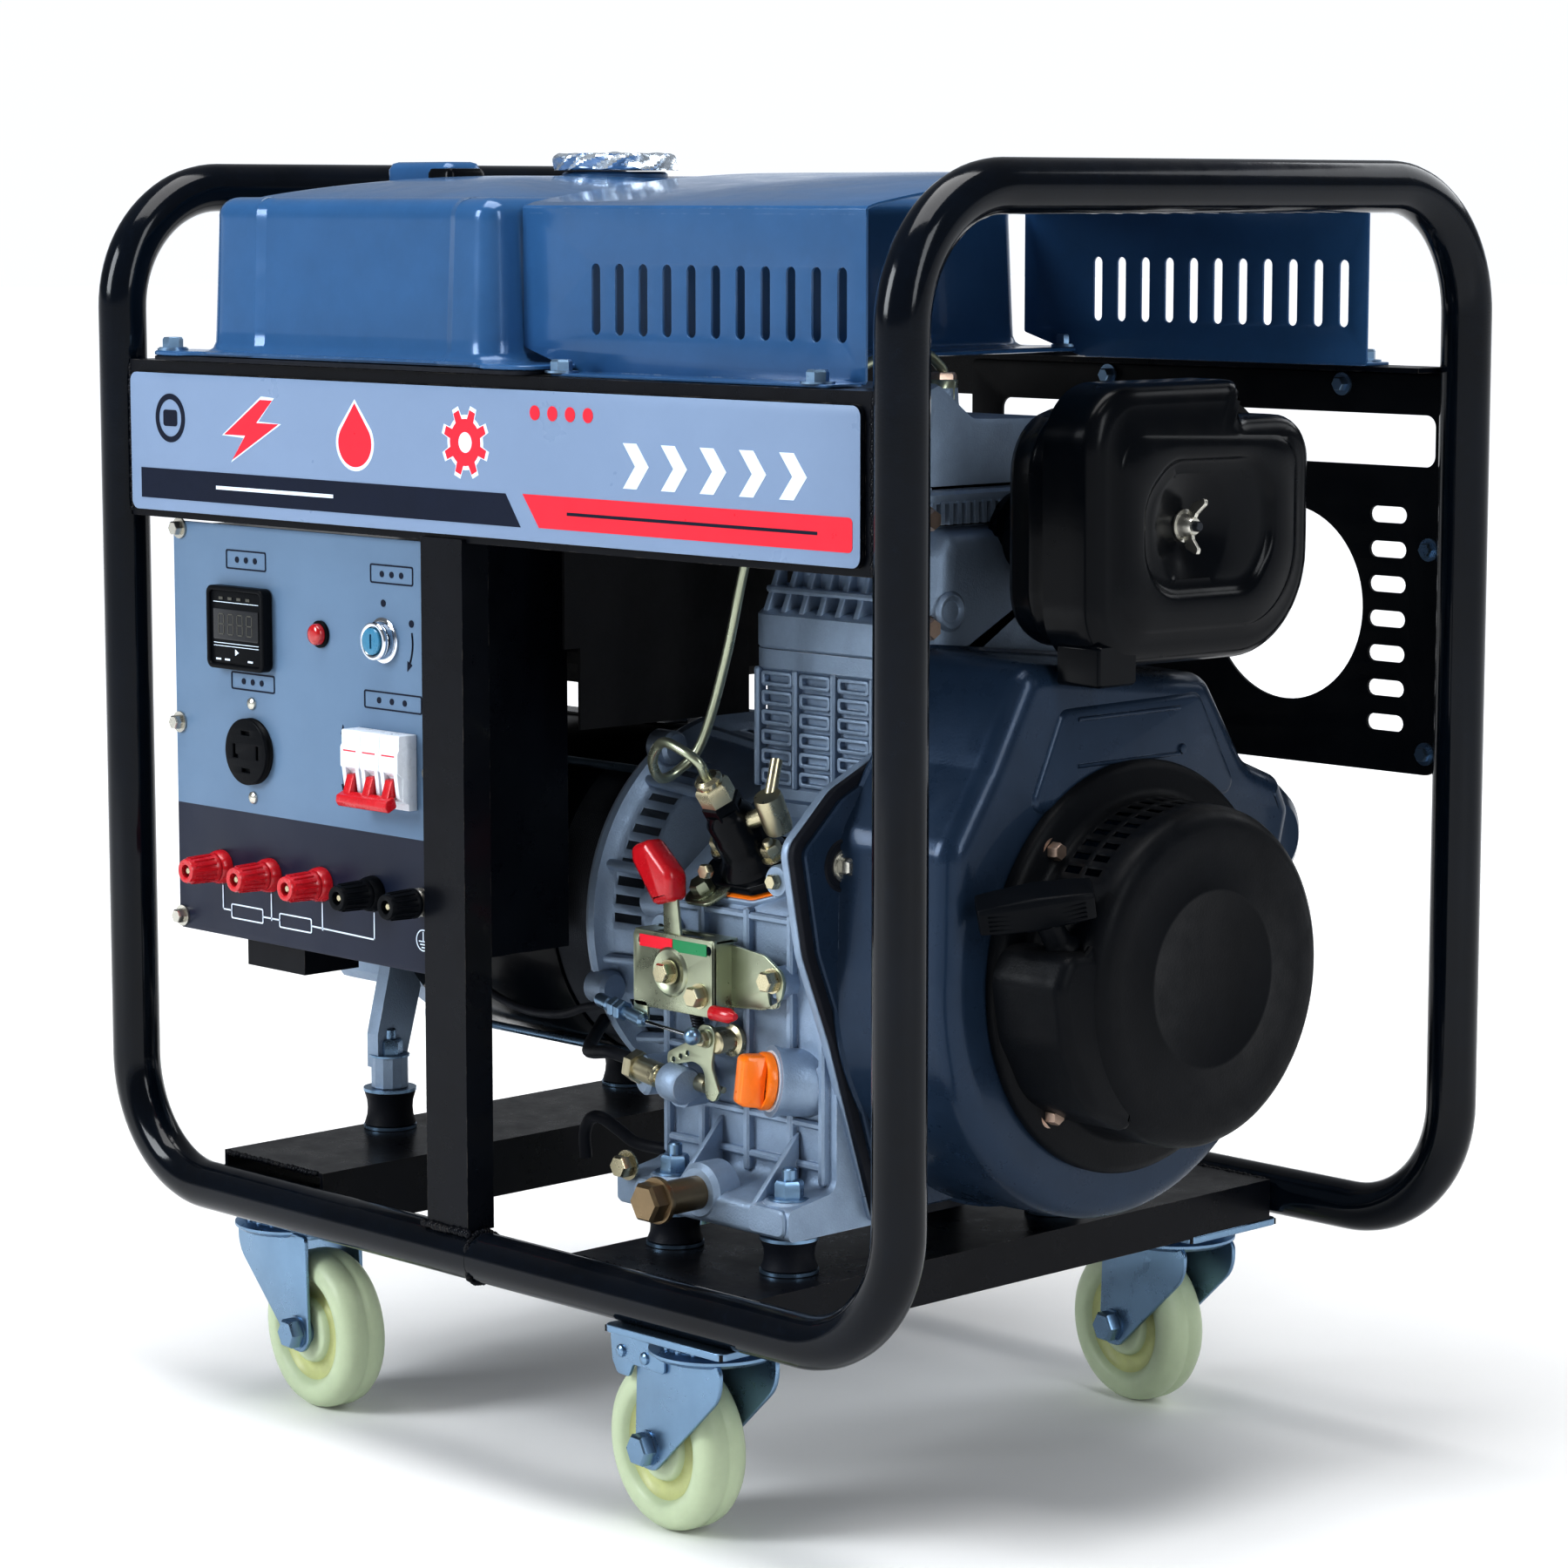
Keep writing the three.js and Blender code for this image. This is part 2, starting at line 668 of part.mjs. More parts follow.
function governorPlate() {
  const { x, z } = LEVER_PIVOT;
  const plate = slab('y', roundRect(54, 123, 289, 334, 3), -166, -164);
  const roof = cut(box(54, 123, -166, -146, 332, 334), box(72, 108, -164.5, -157, 330, 336));
  const fold = box(121, 123, -166, -150, 289, 334);
  const wing = slab('y', polygon([[121, 296], [150, 296], [164, 304], [166, 318], [150, 326], [121, 330]]), -152, -150);
  return join(
    plate,
    roof,
    fold,
    wing,
    rod('y', 5, -170, -140 - GAP, x, z, 14),
    rod('y', 5, -156, -140 - GAP, 156, 312, 14),
    box(54, 62, -166, -164, 281, 291),
    rod('x', 4, 28, 70, -165, 285, 12),
  );
}

function speedLever() {
  const { x, z } = LEVER_PIVOT;
  const stem = slab('y', polygon([[x - 9, z - 8], [x + 9, z - 8], [x + 9, z + 6], [x - 1, z + 44], [x - 11, z + 42],
    [x - 9, z + 6]]), -163.6, -161.6);
  const grip = slab('y', polygon([[x - 15, z + 38], [x + 2, z + 42], [x + 1, z + 52], [x - 14, z + 72], [x - 27, z + 66],
    [x - 22, z + 54]]), -169, -156, 2);
  return cut(join(stem, grip), rod('y', 5.4, -175, -155, x, z, 14));
}

function controlArm() {
  const { x, z } = ARM_PIVOT;
  const blade = polygon([[x - 33, z - 20], [x - 30, z - 13], [x - 8, z - 1], [x - 5, z + 7], [x + 5, z + 7], [x + 7, z - 1],
    [x + 4, z - 16], [x + 11, z - 30], [x + 7, z - 36], [x, z - 34], [x - 2, z - 18], [x - 10, z - 15]]);
  return join(slab('y', blade, -163, -160.5), rod('y', 5.5, -165, -140 - GAP, x, z, 14));
}

function oilFillerCap() {
  const axis = new THREE.Vector3(-12, -27, 3).normalize();
  const cap = join(rod('z', 19, 0.4, 9, 0, 0, 24), box(-17, 17, -5, 5, 8, 20));
  cap.applyQuaternion(new THREE.Quaternion().setFromUnitVectors(new THREE.Vector3(0, 0, 1), axis));
  return cap.translate(160, -157, 257);
}

function starterMotor() {
  return join(rod('x', 31, 74, 193.5, 150, 385, 24), rod('x', 15, 80, 180, 150, 427));
}

// ---- alternator ----
function alternatorBracket() {
  const [, , x0, x1] = ALT_X;
  const shell = turned([
    [97, x0],
    [118, x0],
    [118, x0 + 7],
    [110, x0 + 12],
    [98, x1 - 12],
    [98, x1],
    [18, x1],
    [18, x1 - 9],
    [86, x1 - 9],
    [97, x0],
  ]);
  const slots = Array.from({ length: 6 }, (_, i) => {
    const z = 388 - i * 15;
    return box(-30, 6, -125, -80, z - 3.5, z + 3.5);
  });
  return cut(shell, ...slots);
}

function alternatorStator() {
  const [, x0, x1] = ALT_X;
  return turned([
    [64, x0 + GAP],
    [STATOR_R, x0 + GAP],
    [STATOR_R, x1 - GAP],
    [64, x1 - GAP],
    [64, x0 + GAP],
  ]);
}

const ALT_MOUNT = { x: -252, y: 103, top: 187 };

function alternatorEndCover() {
  const [x0, x1] = ALT_X;
  const shell = turned([
    [18, x0],
    [70, x0],
    [92, x0 + 8],
    [104, x0 + 24],
    [104, x1],
    [98, x1],
    [98, x0 + 26],
    [68, x0 + 8],
    [18, x0 + 8],
    [18, x0],
  ]);
  const { x, y, top } = ALT_MOUNT;
  const feet = [-1, 1].flatMap((side) => {
    const web = polygon([[88, 285], [98, 292], [104, 262], [y + 11, 222], [y + 11, 200], [y - 11, 200], [78, 250]].map(
      ([u, v]) => [side * u, v]));
    return [
      slab('x', web, x - 9, x1 - 0.1),
      rod('z', 12, top, 207, x, side * y, 12),
      rod('x', 12, x0 - 6, x1, side * 90, 262, 10),
    ];
  });
  return join(shell, ...feet);
}

const rubberMount = (x, y, from, to) => cut(rod('z', 16.5, from, to, x, y, 24), rod('z', 3, to - 4, to + 1, x, y, 8));

// ---- assembly ----
const black = () => paint(BLACK, 0.2);
const cast = () => paint(CAST, 0.55, 0.5);
add('frame_tube_left', frameTube(-1), black());
add('frame_tube_right', frameTube(1), black());
add('front_brace', frontBrace(), black());
add('rear_brace', rearBrace(), black());
add('rear_guard', rearGuard(), black());
const platesLeft = CASTORS.filter(([, x]) => x < 0).map(([, x, y]) => [x, y]);
const platesRight = CASTORS.filter(([, x]) => x > 0).map(([, x, y]) => [x, y]);
add('base_channel_left', baseChannel(-271, -171, 160, platesLeft), black());
add('base_channel_right', baseChannel(60, 215, 150, platesRight), black());
addCastors();

add('control_box', controlBox(), black());
add('control_panel', controlPanel(), paint(0x8d99ab, 0.4));
add('digital_meter', digitalMeter(), paint(BLACK, 0.3));
add('indicator_lamp', rod('y', 6.5, PANEL_Y - 7, PANEL_Y - GAP, -146, 497, 20), paint(RED, 0.2));
add('key_switch', keySwitch(), paint(0xc8ccd0, 0.2, 1));
add('key_rotor', keyRotor(), paint(0x2f7fb0, 0.4));
add('outlet_socket', outletSocket(), paint(BLACK, 0.5));
add('breaker_body', breakerBody(), paint(0xd8dade, 0.4));
add('breaker_toggle', breakerToggle(), paint(RED, 0.35));
const KNOBS = ['red_1', 'red_2', 'red_3', 'black', 'earth'];
KNOBS.forEach((name, i) => {
  add('terminal_knob_' + name, terminalKnob(TERMINAL_X[i]), paint(i < 3 ? RED : BLACK, 0.35));
});

add('fuel_tank', fuelTank(), paint(BLUE_GREY, 0.15));
add('fuel_cap', rod('z', 38, 773 + GAP, 786, CAP.x, CAP.y, 28), paint(0xb8bcc4, 0.35, 0.6));
add('muffler_cover', mufflerCover(), paint(BLUE_GREY, 0.25));
add('muffler', muffler(), paint(BLACK, 0.6));

add('crankcase', crankcase(), cast());
add('cylinder_head', cylinderHead(), cast());
add('flywheel_shroud', flywheelShroud(), paint(BLUE_GREY, 0.2));
add('flywheel', flywheel(), paint(0x55585c, 0.6, 0.8));
add('crankshaft', crankshaft(), paint(0x808488, 0.3, 1));
add('recoil_housing', recoilHousing(), paint(BLACK, 0.25));
add('recoil_handle', recoilHandle(), paint(BLACK, 0.4));
add('air_cleaner_base', airCleanerBase(), paint(BLACK, 0.3));
add('air_cleaner_cover', airCleanerCover(), paint(BLACK, 0.15));
add('wing_nut', wingNut(), paint(0xb9b08a, 0.3, 1));
const pump = add('injection_pump', injectionPump(), paint(0x15171a, 0.3, 0.5));
pump.position.set(PUMP.x, PUMP.y, PUMP.z);
pump.rotation.x = THREE.MathUtils.degToRad(PUMP.lean);
add('injection_pipe', injectionPipe(), paint(0xa59a7a, 0.35, 0.8));
add('governor_plate', governorPlate(), paint(0x9a9c7c, 0.35, 0.8));
add('speed_lever', speedLever(), paint(RED, 0.35));
add('control_arm', controlArm(), paint(0x9a8f6a, 0.35, 0.8));
add('oil_filler_cap', oilFillerCap(), paint(0xf07818, 0.4));
add('starter_motor', starterMotor(), paint(BLACK, 0.4, 0.4));

add('alternator_bracket', alternatorBracket(), cast());
add('alternator_stator', alternatorStator(), paint(0x2a2e33, 0.5));
add('alternator_end_cover', alternatorEndCover(), cast());
const rubber = () => paint(0x1b2230, 0.7);
add('mount_alternator_front', rubberMount(ALT_MOUNT.x, -ALT_MOUNT.y, 160 + GAP, ALT_MOUNT.top - GAP), rubber());
add('mount_alternator_rear', rubberMount(ALT_MOUNT.x, ALT_MOUNT.y, 160 + GAP, ALT_MOUNT.top - GAP), rubber());
add('mount_engine_front_left', rubberMount(84, -161, 150 + GAP, 172 - GAP), rubber());
add('mount_engine_front_right', rubberMount(180, -161, 150 + GAP, 172 - GAP), rubber());
add('mount_engine_rear_left', rubberMount(84, 60, 150 + GAP, 172 - GAP), rubber());
add('mount_engine_rear_right', rubberMount(180, 60, 150 + GAP, 172 - GAP), rubber());

// Black sleeve of the stop cable, from its adjuster to the floor of the control box.
const cableRoute = new THREE.CatmullRomCurve3(
  [
    [27.5, -165, 285],
    [10, -164, 281],
    [-20, -158, 272],
    [-60, -150, 268],
    [-100, -146, 274],
    [-122, -146, 288],
    [-126, -146, 305.6],
  ].map((p) => new THREE.Vector3(...p)),
);
add('control_cable', bentTube(cableRoute.getSpacedPoints(20), 2.6, 6), paint(0x101114, 0.5));

// The whole stands centred over the origin.
const bounds = new THREE.Box3().setFromObject(machine, true);
machine.position.set(-(bounds.min.x + bounds.max.x) / 2, -(bounds.min.y + bounds.max.y) / 2, 0);

export default machine;
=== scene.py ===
"""Looks for the open-frame engine driven set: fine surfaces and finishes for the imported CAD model.

Pieces are drawn in millimetres, from the crankshaft line's foot on the floor: X along the panel side with
the recoil starter at +X, the panel facing -Y, Z up. Build.done() turns them into the row frame in metres.
"""
import json
import math
import random

import bmesh
import bpy
from mathutils import Matrix, Vector


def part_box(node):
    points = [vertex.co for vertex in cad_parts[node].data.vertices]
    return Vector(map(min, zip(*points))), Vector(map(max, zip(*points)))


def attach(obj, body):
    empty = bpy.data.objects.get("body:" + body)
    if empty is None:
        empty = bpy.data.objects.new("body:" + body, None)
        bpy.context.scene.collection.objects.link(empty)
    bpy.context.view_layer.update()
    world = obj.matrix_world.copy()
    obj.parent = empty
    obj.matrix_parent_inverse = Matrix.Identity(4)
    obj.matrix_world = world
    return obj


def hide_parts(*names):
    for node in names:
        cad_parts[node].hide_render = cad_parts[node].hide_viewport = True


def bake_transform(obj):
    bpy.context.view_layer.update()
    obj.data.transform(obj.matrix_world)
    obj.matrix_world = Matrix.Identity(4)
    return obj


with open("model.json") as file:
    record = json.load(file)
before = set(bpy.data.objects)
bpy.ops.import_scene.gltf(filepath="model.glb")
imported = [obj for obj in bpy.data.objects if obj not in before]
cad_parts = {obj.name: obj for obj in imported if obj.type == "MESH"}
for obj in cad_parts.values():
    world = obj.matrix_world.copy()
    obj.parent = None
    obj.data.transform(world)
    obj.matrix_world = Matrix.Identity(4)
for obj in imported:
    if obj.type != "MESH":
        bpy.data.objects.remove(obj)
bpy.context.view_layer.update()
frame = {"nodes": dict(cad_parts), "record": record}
random.seed(7)


def centre_of(node):
    low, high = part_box(node)
    return (low + high) / 2


CRANK = centre_of("alternator_stator")
TO_ROW = Matrix.Translation((0, CRANK.y, 0)) @ Matrix.Scale(0.001, 4)
FROM_ROW = TO_ROW.inverted()
CRANK_Z = CRANK.z * 1000
CRANK_LINE = (0, 0, CRANK_Z)
UP, FRONT, BACK, RIGHT, LEFT = (0, 0, 1), (0, -1, 0), (0, 1, 0), (1, 0, 0), (-1, 0, 0)
AXES = {
    "x": Matrix(((0, 0, 1), (1, 0, 0), (0, 1, 0))).to_4x4(),
    "y": Matrix(((1, 0, 0), (0, 0, -1), (0, 1, 0))).to_4x4(),
    "z": Matrix.Identity(4),
}


def box_of(*nodes):
    """Lowest and highest corner of CAD nodes, in the drawing's millimetres."""
    lows, highs = zip(*(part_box(node) for node in nodes))
    low = Vector([min(corner[i] for corner in lows) for i in range(3)])
    high = Vector([max(corner[i] for corner in highs) for i in range(3)])
    return FROM_ROW @ low, FROM_ROW @ high


# ---------------------------------------------------------------- finishes


class Shader:
    """One node material, wired by name."""

    def __init__(self, name):
        self.material = bpy.data.materials.new(name)
        self.material.use_nodes = True
        self.tree = self.material.node_tree
        self.bsdf = self.tree.nodes["Principled BSDF"]
        self.where = self.node("ShaderNodeTexCoord").outputs["Object"]

    def node(self, kind, **settings):
        made = self.tree.nodes.new(kind)
        for key, value in settings.items():
            setattr(made, key, value)
        return made

    def link(self, source, target):
        self.tree.links.new(source, target)

    def noise(self, scale, detail=4.0, rough=0.6, stretch=None):
        made = self.node("ShaderNodeTexNoise")
        made.inputs["Scale"].default_value = scale
        made.inputs["Detail"].default_value = detail
        made.inputs["Roughness"].default_value = rough
        place = self.where
        if stretch:
            mapping = self.node("ShaderNodeMapping")
            mapping.inputs["Scale"].default_value = stretch
            self.link(self.where, mapping.inputs["Vector"])
            place = mapping.outputs["Vector"]
        self.link(place, made.inputs["Vector"])
        return made.outputs["Fac"]

    def remap(self, value, low, high, out_low=0.0, out_high=1.0):
        made = self.node("ShaderNodeMapRange")
        made.inputs["From Min"].default_value = low
        made.inputs["From Max"].default_value = high
        made.inputs["To Min"].default_value = out_low
        made.inputs["To Max"].default_value = out_high
        self.link(value, made.inputs["Value"])
        return made.outputs["Result"]

    def maths(self, operation, a, b=0.0):
        made = self.node("ShaderNodeMath", operation=operation)
        for socket, value in zip(made.inputs, (a, b)):
            if isinstance(value, (int, float)):
                socket.default_value = value
            else:
                self.link(value, socket)
        return made.outputs["Value"]

    def blend(self, share, a, b):
        made = self.node("ShaderNodeMix", data_type="RGBA")
        for socket, value in ((made.inputs[6], a), (made.inputs[7], b)):
            if isinstance(value, (tuple, list)):
                socket.default_value = (*value[:3], 1.0)
            else:
                self.link(value, socket)
        self.link(share, made.inputs["Factor"])
        return made.outputs[2]

    def edges(self, width, low=0.02, high=0.2):
        """1 along convex and concave edges narrower than width metres, 0 on flats."""
        bevel = self.node("ShaderNodeBevel", samples=4)
        bevel.inputs["Radius"].default_value = width
        flat = self.node("ShaderNodeNewGeometry")
        dot = self.node("ShaderNodeVectorMath", operation="DOT_PRODUCT")
        self.link(bevel.outputs["Normal"], dot.inputs[0])
        self.link(flat.outputs["Normal"], dot.inputs[1])
        return self.remap(self.maths("SUBTRACT", 1.0, dot.outputs["Value"]), low, high)

    def bump(self, height, strength, distance):
        made = self.node("ShaderNodeBump")
        made.inputs["Strength"].default_value = strength
        made.inputs["Distance"].default_value = distance
        self.link(height, made.inputs["Height"])
        return made

    def facing_up(self, low=0.5, high=1.0):
        flat = self.node("ShaderNodeNewGeometry")
        split = self.node("ShaderNodeSeparateXYZ")
        self.link(flat.outputs["Normal"], split.inputs["Vector"])
        return self.remap(split.outputs["Z"], low, high)


DUST_TONE = (0.34, 0.31, 0.27)
COAT_ROUGH = 0.06
GRAIN_DEPTH, RIPPLE_DEPTH = 0.0006, 0.004  # metres


def shade(colour, factor):
    return tuple(min(1.0, channel * factor) for channel in colour)


def finish(name, colour, rough, metal=0.0, coat=0.0, specular=0.5, vary=0.12, patch=14.0, grain=0.0,
           grain_scale=500.0, worn=None, worn_width=0.0012, dust=0.0, ripple=0.0, stretch=None):
    """A painted, cast, plated or moulded surface.

    Its colour is mottled by vary over patches, its gloss is uneven, and it has grain, worn edges and dust.
    """
    s = Shader(name)
    mottle = s.noise(patch, 6.0, 0.65, stretch)
    tone = s.blend(s.remap(mottle, 0.3, 0.7), shade(colour, 1 - vary), shade(colour, 1 + vary))
    speck = s.noise(patch * 11, 3.0, 0.7, stretch)
    tone = s.blend(s.remap(speck, 0.55, 0.8, 0.0, vary * 1.5), tone, shade(colour, 1 + 3 * vary))
    gloss = s.remap(s.noise(patch * 3, 5.0, 0.7, stretch), 0.3, 0.7, rough * 0.75, rough * 1.3)
    if worn:
        rubbed = s.maths("MULTIPLY", s.edges(worn_width), s.remap(s.noise(60, 5.0, 0.75), 0.5, 0.62))
        tone = s.blend(rubbed, tone, worn)
        gloss = s.maths("MAXIMUM", gloss, s.maths("MULTIPLY", rubbed, 0.55))
    if dust:
        settled = s.maths("MULTIPLY", s.facing_up(), s.remap(s.noise(25, 6.0, 0.7), 0.35, 0.75, 0.0, dust))
        tone = s.blend(settled, tone, DUST_TONE)
        gloss = s.maths("MAXIMUM", gloss, s.maths("MULTIPLY", settled, 0.9))
    s.link(tone, s.bsdf.inputs["Base Color"])
    s.link(gloss, s.bsdf.inputs["Roughness"])
    s.bsdf.inputs["Metallic"].default_value = metal
    s.bsdf.inputs["Coat Weight"].default_value = coat
    s.bsdf.inputs["Specular IOR Level"].default_value = specular
    s.bsdf.inputs["Coat Roughness"].default_value = COAT_ROUGH
    bump = s.bump(s.noise(grain_scale, 3.0, 0.6), grain, GRAIN_DEPTH)
    if ripple:
        wave = s.bump(s.noise(22, 2.0, 0.5), ripple, RIPPLE_DEPTH)
        s.link(wave.outputs["Normal"], bump.inputs["Normal"])
    s.link(bump.outputs["Normal"], s.bsdf.inputs["Normal"])
    s.material.diffuse_color = (*colour, 1.0)
    return s.material


FINISHES = {
    "black": finish("black_coat", (0.003, 0.004, 0.007), 0.3, coat=0.05, specular=0.12, vary=0.3,
                    grain=0.03, grain_scale=900, worn=(0.1, 0.09, 0.08), worn_width=0.0008, dust=0.03,
                    ripple=0.05),
    "tube": finish("tube_coat", (0.002, 0.004, 0.008), 0.13, coat=0.18, specular=0.16, vary=0.35,
                   grain=0.05, grain_scale=700, dust=0.03, ripple=0.08),
    # Blue-grey paint; its strong blue is partly the paint's own colour and partly a painted blue sky
    # reflection.
    "blue": finish("blue_grey_coat_and_sky_reflection", (0.032, 0.105, 0.235), 0.2, metal=0.1, coat=0.25, specular=0.3,
                   vary=0.1, grain=0.05, grain_scale=1500, worn=(0.2, 0.26, 0.34), worn_width=0.0006,
                   dust=0.05, ripple=0.12),
    "shroud": finish("shroud_coat", (0.016, 0.034, 0.066), 0.3, metal=0.3, coat=0.15, specular=0.2,
                     vary=0.12, grain=0.12, grain_scale=700, worn=(0.12, 0.16, 0.22), worn_width=0.0007,
                     ripple=0.05),
    "cast": finish("die_cast", (0.28, 0.36, 0.47), 0.46, metal=0.5, vary=0.12, patch=20, grain=0.4,
                   grain_scale=800, worn=(0.6, 0.66, 0.74), worn_width=0.0012),
    "zinc": finish("bright_zinc", (0.21, 0.32, 0.45), 0.3, metal=0.92, vary=0.07, patch=16, grain=0.012,
                   worn=(0.2, 0.18, 0.16), worn_width=0.0005),
    "yellow_zinc": finish("yellow_zinc", (0.52, 0.48, 0.34), 0.28, metal=0.95, vary=0.06, patch=16,
                          grain=0.012),
    "bolt": finish("bolt_zinc", (0.56, 0.55, 0.5), 0.28, metal=0.95, vary=0.08, patch=20, grain=0.015),
    "copper_bolt": finish("rusty_bolt", (0.5, 0.38, 0.31), 0.36, metal=0.9, vary=0.16, patch=40,
                          grain=0.03),
    "dark_steel": finish("dark_steel", (0.03, 0.034, 0.042), 0.4, metal=0.7, vary=0.2, patch=30, grain=0.2),
    "steel": finish("ground_steel", (0.5, 0.5, 0.5), 0.3, metal=1.0, vary=0.12, patch=40, grain=0.1,
                    stretch=(4.0, 1.0, 1.0)),
    "nylon": finish("cream_nylon", (0.52, 0.6, 0.42), 0.4, specular=0.4, vary=0.07, patch=25, grain=0.1,
                    grain_scale=300, worn=(0.3, 0.29, 0.19), worn_width=0.0016),
    "nylon_hub": finish("yellowed_nylon", (0.5, 0.53, 0.26), 0.4, vary=0.12, patch=40, grain=0.1),
    "plastic": finish("black_plastic", (0.003, 0.004, 0.006), 0.36, specular=0.09, vary=0.2, grain=0.15,
                      grain_scale=900),
    "enamel": finish("black_enamel", (0.002, 0.003, 0.005), 0.22, coat=0.03, specular=0.13, vary=0.2,
                     grain=0.03, grain_scale=900, ripple=0.03),
    "satin": finish("satin_black", (0.003, 0.004, 0.006), 0.4, specular=0.12, vary=0.25, grain=0.2,
                    grain_scale=700, dust=0.04),
    "heatproof": finish("heatproof_black", (0.006, 0.006, 0.007), 0.6, specular=0.25, vary=0.25, grain=0.3,
                        grain_scale=500, dust=0.05),
    "rubber": finish("rubber", (0.006, 0.008, 0.014), 0.55, specular=0.18, vary=0.2, grain=0.2,
                     grain_scale=500, dust=0.06),
    "red": finish("red_plastic", (0.5, 0.01, 0.02), 0.25, coat=0.3, vary=0.08, patch=40, grain=0.08),
    "lamp": finish("red_lens", (0.4, 0.008, 0.012), 0.1, coat=0.8, vary=0.2, patch=90, grain=0.02),
    "orange": finish("orange_plastic", (0.9, 0.22, 0.008), 0.32, coat=0.2, vary=0.06, patch=40, grain=0.08),
    "white": finish("white_plastic", (0.72, 0.76, 0.82), 0.3, vary=0.04, patch=50, grain=0.05),
    "blue_plastic": finish("blue_plastic", (0.03, 0.19, 0.32), 0.3, coat=0.3, vary=0.12, patch=60,
                           grain=0.06),
    "chrome": finish("chrome", (0.7, 0.74, 0.8), 0.08, metal=1.0, vary=0.05, patch=60, grain=0.02),
    "bronze": finish("bronze", (0.24, 0.18, 0.11), 0.34, metal=0.9, vary=0.12, patch=30, grain=0.03),
    "sign": finish("sign_print", (0.2, 0.275, 0.405), 0.32, specular=0.3, vary=0.05, patch=4.0, grain=0.04,
                   grain_scale=1200),
    "navy": finish("navy_print", (0.004, 0.009, 0.026), 0.4, specular=0.16, vary=0.1, patch=30),
    "sign_red": finish("red_print", (0.74, 0.02, 0.045), 0.35, specular=0.3, vary=0.05, patch=30),
    "white_print": finish("white_print", (0.66, 0.76, 0.88), 0.35, vary=0.04, patch=30),
    "screen": finish("meter_glass", (0.008, 0.01, 0.014), 0.12, coat=0.3, specular=0.3, vary=0.2, patch=60),
    "digits": finish("meter_digits", (0.06, 0.06, 0.05), 0.2, vary=0.2, patch=60),
    "film": finish("silver_film", (0.7, 0.78, 0.88), 0.2, metal=0.85, vary=0.16, patch=60, grain=0.3,
                   grain_scale=260),
    "olive": finish("olive_zinc", (0.38, 0.41, 0.31), 0.3, metal=0.9, vary=0.06, patch=14, grain=0.01),
    "green": finish("green_print", (0.01, 0.24, 0.09), 0.35, vary=0.05, patch=30),
    "rope": finish("braided_rope", (0.5, 0.5, 0.48), 0.7, vary=0.3, patch=300, grain=0.6, grain_scale=900),
    "pale": finish("pale_print", (0.4, 0.48, 0.6), 0.45, vary=0.08, patch=50),
}


PRINT_EDGE_Z = 0.3815  # metres, where the panel's navy field ends


def panel_finish():
    """Grey paint with a navy field below, divided at one height."""
    s = Shader("panel_print")
    up = s.node("ShaderNodeSeparateXYZ")
    s.link(s.where, up.inputs["Vector"])
    upper = s.remap(up.outputs["Z"], PRINT_EDGE_Z - 0.0001, PRINT_EDGE_Z + 0.0001)
    mottle = s.remap(s.noise(9.0, 5.0, 0.6), 0.3, 0.7)
    grey = s.blend(mottle, (0.122, 0.195, 0.295), (0.142, 0.222, 0.332))
    navy = s.blend(mottle, (0.008, 0.013, 0.032), (0.012, 0.018, 0.04))
    s.link(s.blend(upper, navy, grey), s.bsdf.inputs["Base Color"])
    s.link(s.remap(s.noise(40, 4.0, 0.6), 0.3, 0.7, 0.28, 0.4), s.bsdf.inputs["Roughness"])
    s.bsdf.inputs["Specular IOR Level"].default_value = 0.3
    bump = s.bump(s.noise(1400, 3.0, 0.6), 0.06, GRAIN_DEPTH)
    s.link(bump.outputs["Normal"], s.bsdf.inputs["Normal"])
    return s.material


FINISHES["panel"] = panel_finish()
SLOT_FINISH = {
    "frame_black": "black",
    "panel_grey": "pale",
    "blue_grey_paint": "blue",
    "cast_aluminium": "cast",
    "bluish_zinc": "zinc",
    "yellow_zinc": "yellow_zinc",
    "dark_steel": "dark_steel",
    "ground_steel": "steel",
    "nylon": "nylon",
    "black_plastic": "plastic",
    "red_plastic": "red",
    "white_plastic": "white",
    "blue_plastic": "blue_plastic",
    "orange_plastic": "orange",
    "chrome": "chrome",
    "silver_film": "chrome",
    "black_enamel": "enamel",
    "heatproof_black": "heatproof",
    "rubber": "rubber",
}

# The material slot of each finish.
FINISH_SLOT = {finish_name: slot for slot, finish_name in SLOT_FINISH.items()}
FINISH_SLOT.update({
    "tube": "frame_black",
    "nylon_hub": "nylon",
    "sign": "panel_grey",
    "panel": "panel_grey",
    "navy": "black_plastic",
    "screen": "black_plastic",
    "digits": "black_plastic",
    "satin": "black_plastic",
    "sign_red": "red_plastic",
    "lamp": "red_plastic",
    "white_print": "white_plastic",
    "rope": "white_plastic",
    "green": "blue_plastic",
    "bolt": "ground_steel",
    "film": "silver_film",
    "shroud": "blue_grey_paint",
    "olive": "yellow_zinc",
    "bronze": "yellow_zinc",
})

# ---------------------------------------------------------------- shapes


def ring(cu, cv, r, steps=32, start=0.0):
    """Points round a circle."""
    turn = 2 * math.pi / steps
    return [(cu + r * math.cos(start + i * turn), cv + r * math.sin(start + i * turn)) for i in range(steps)]


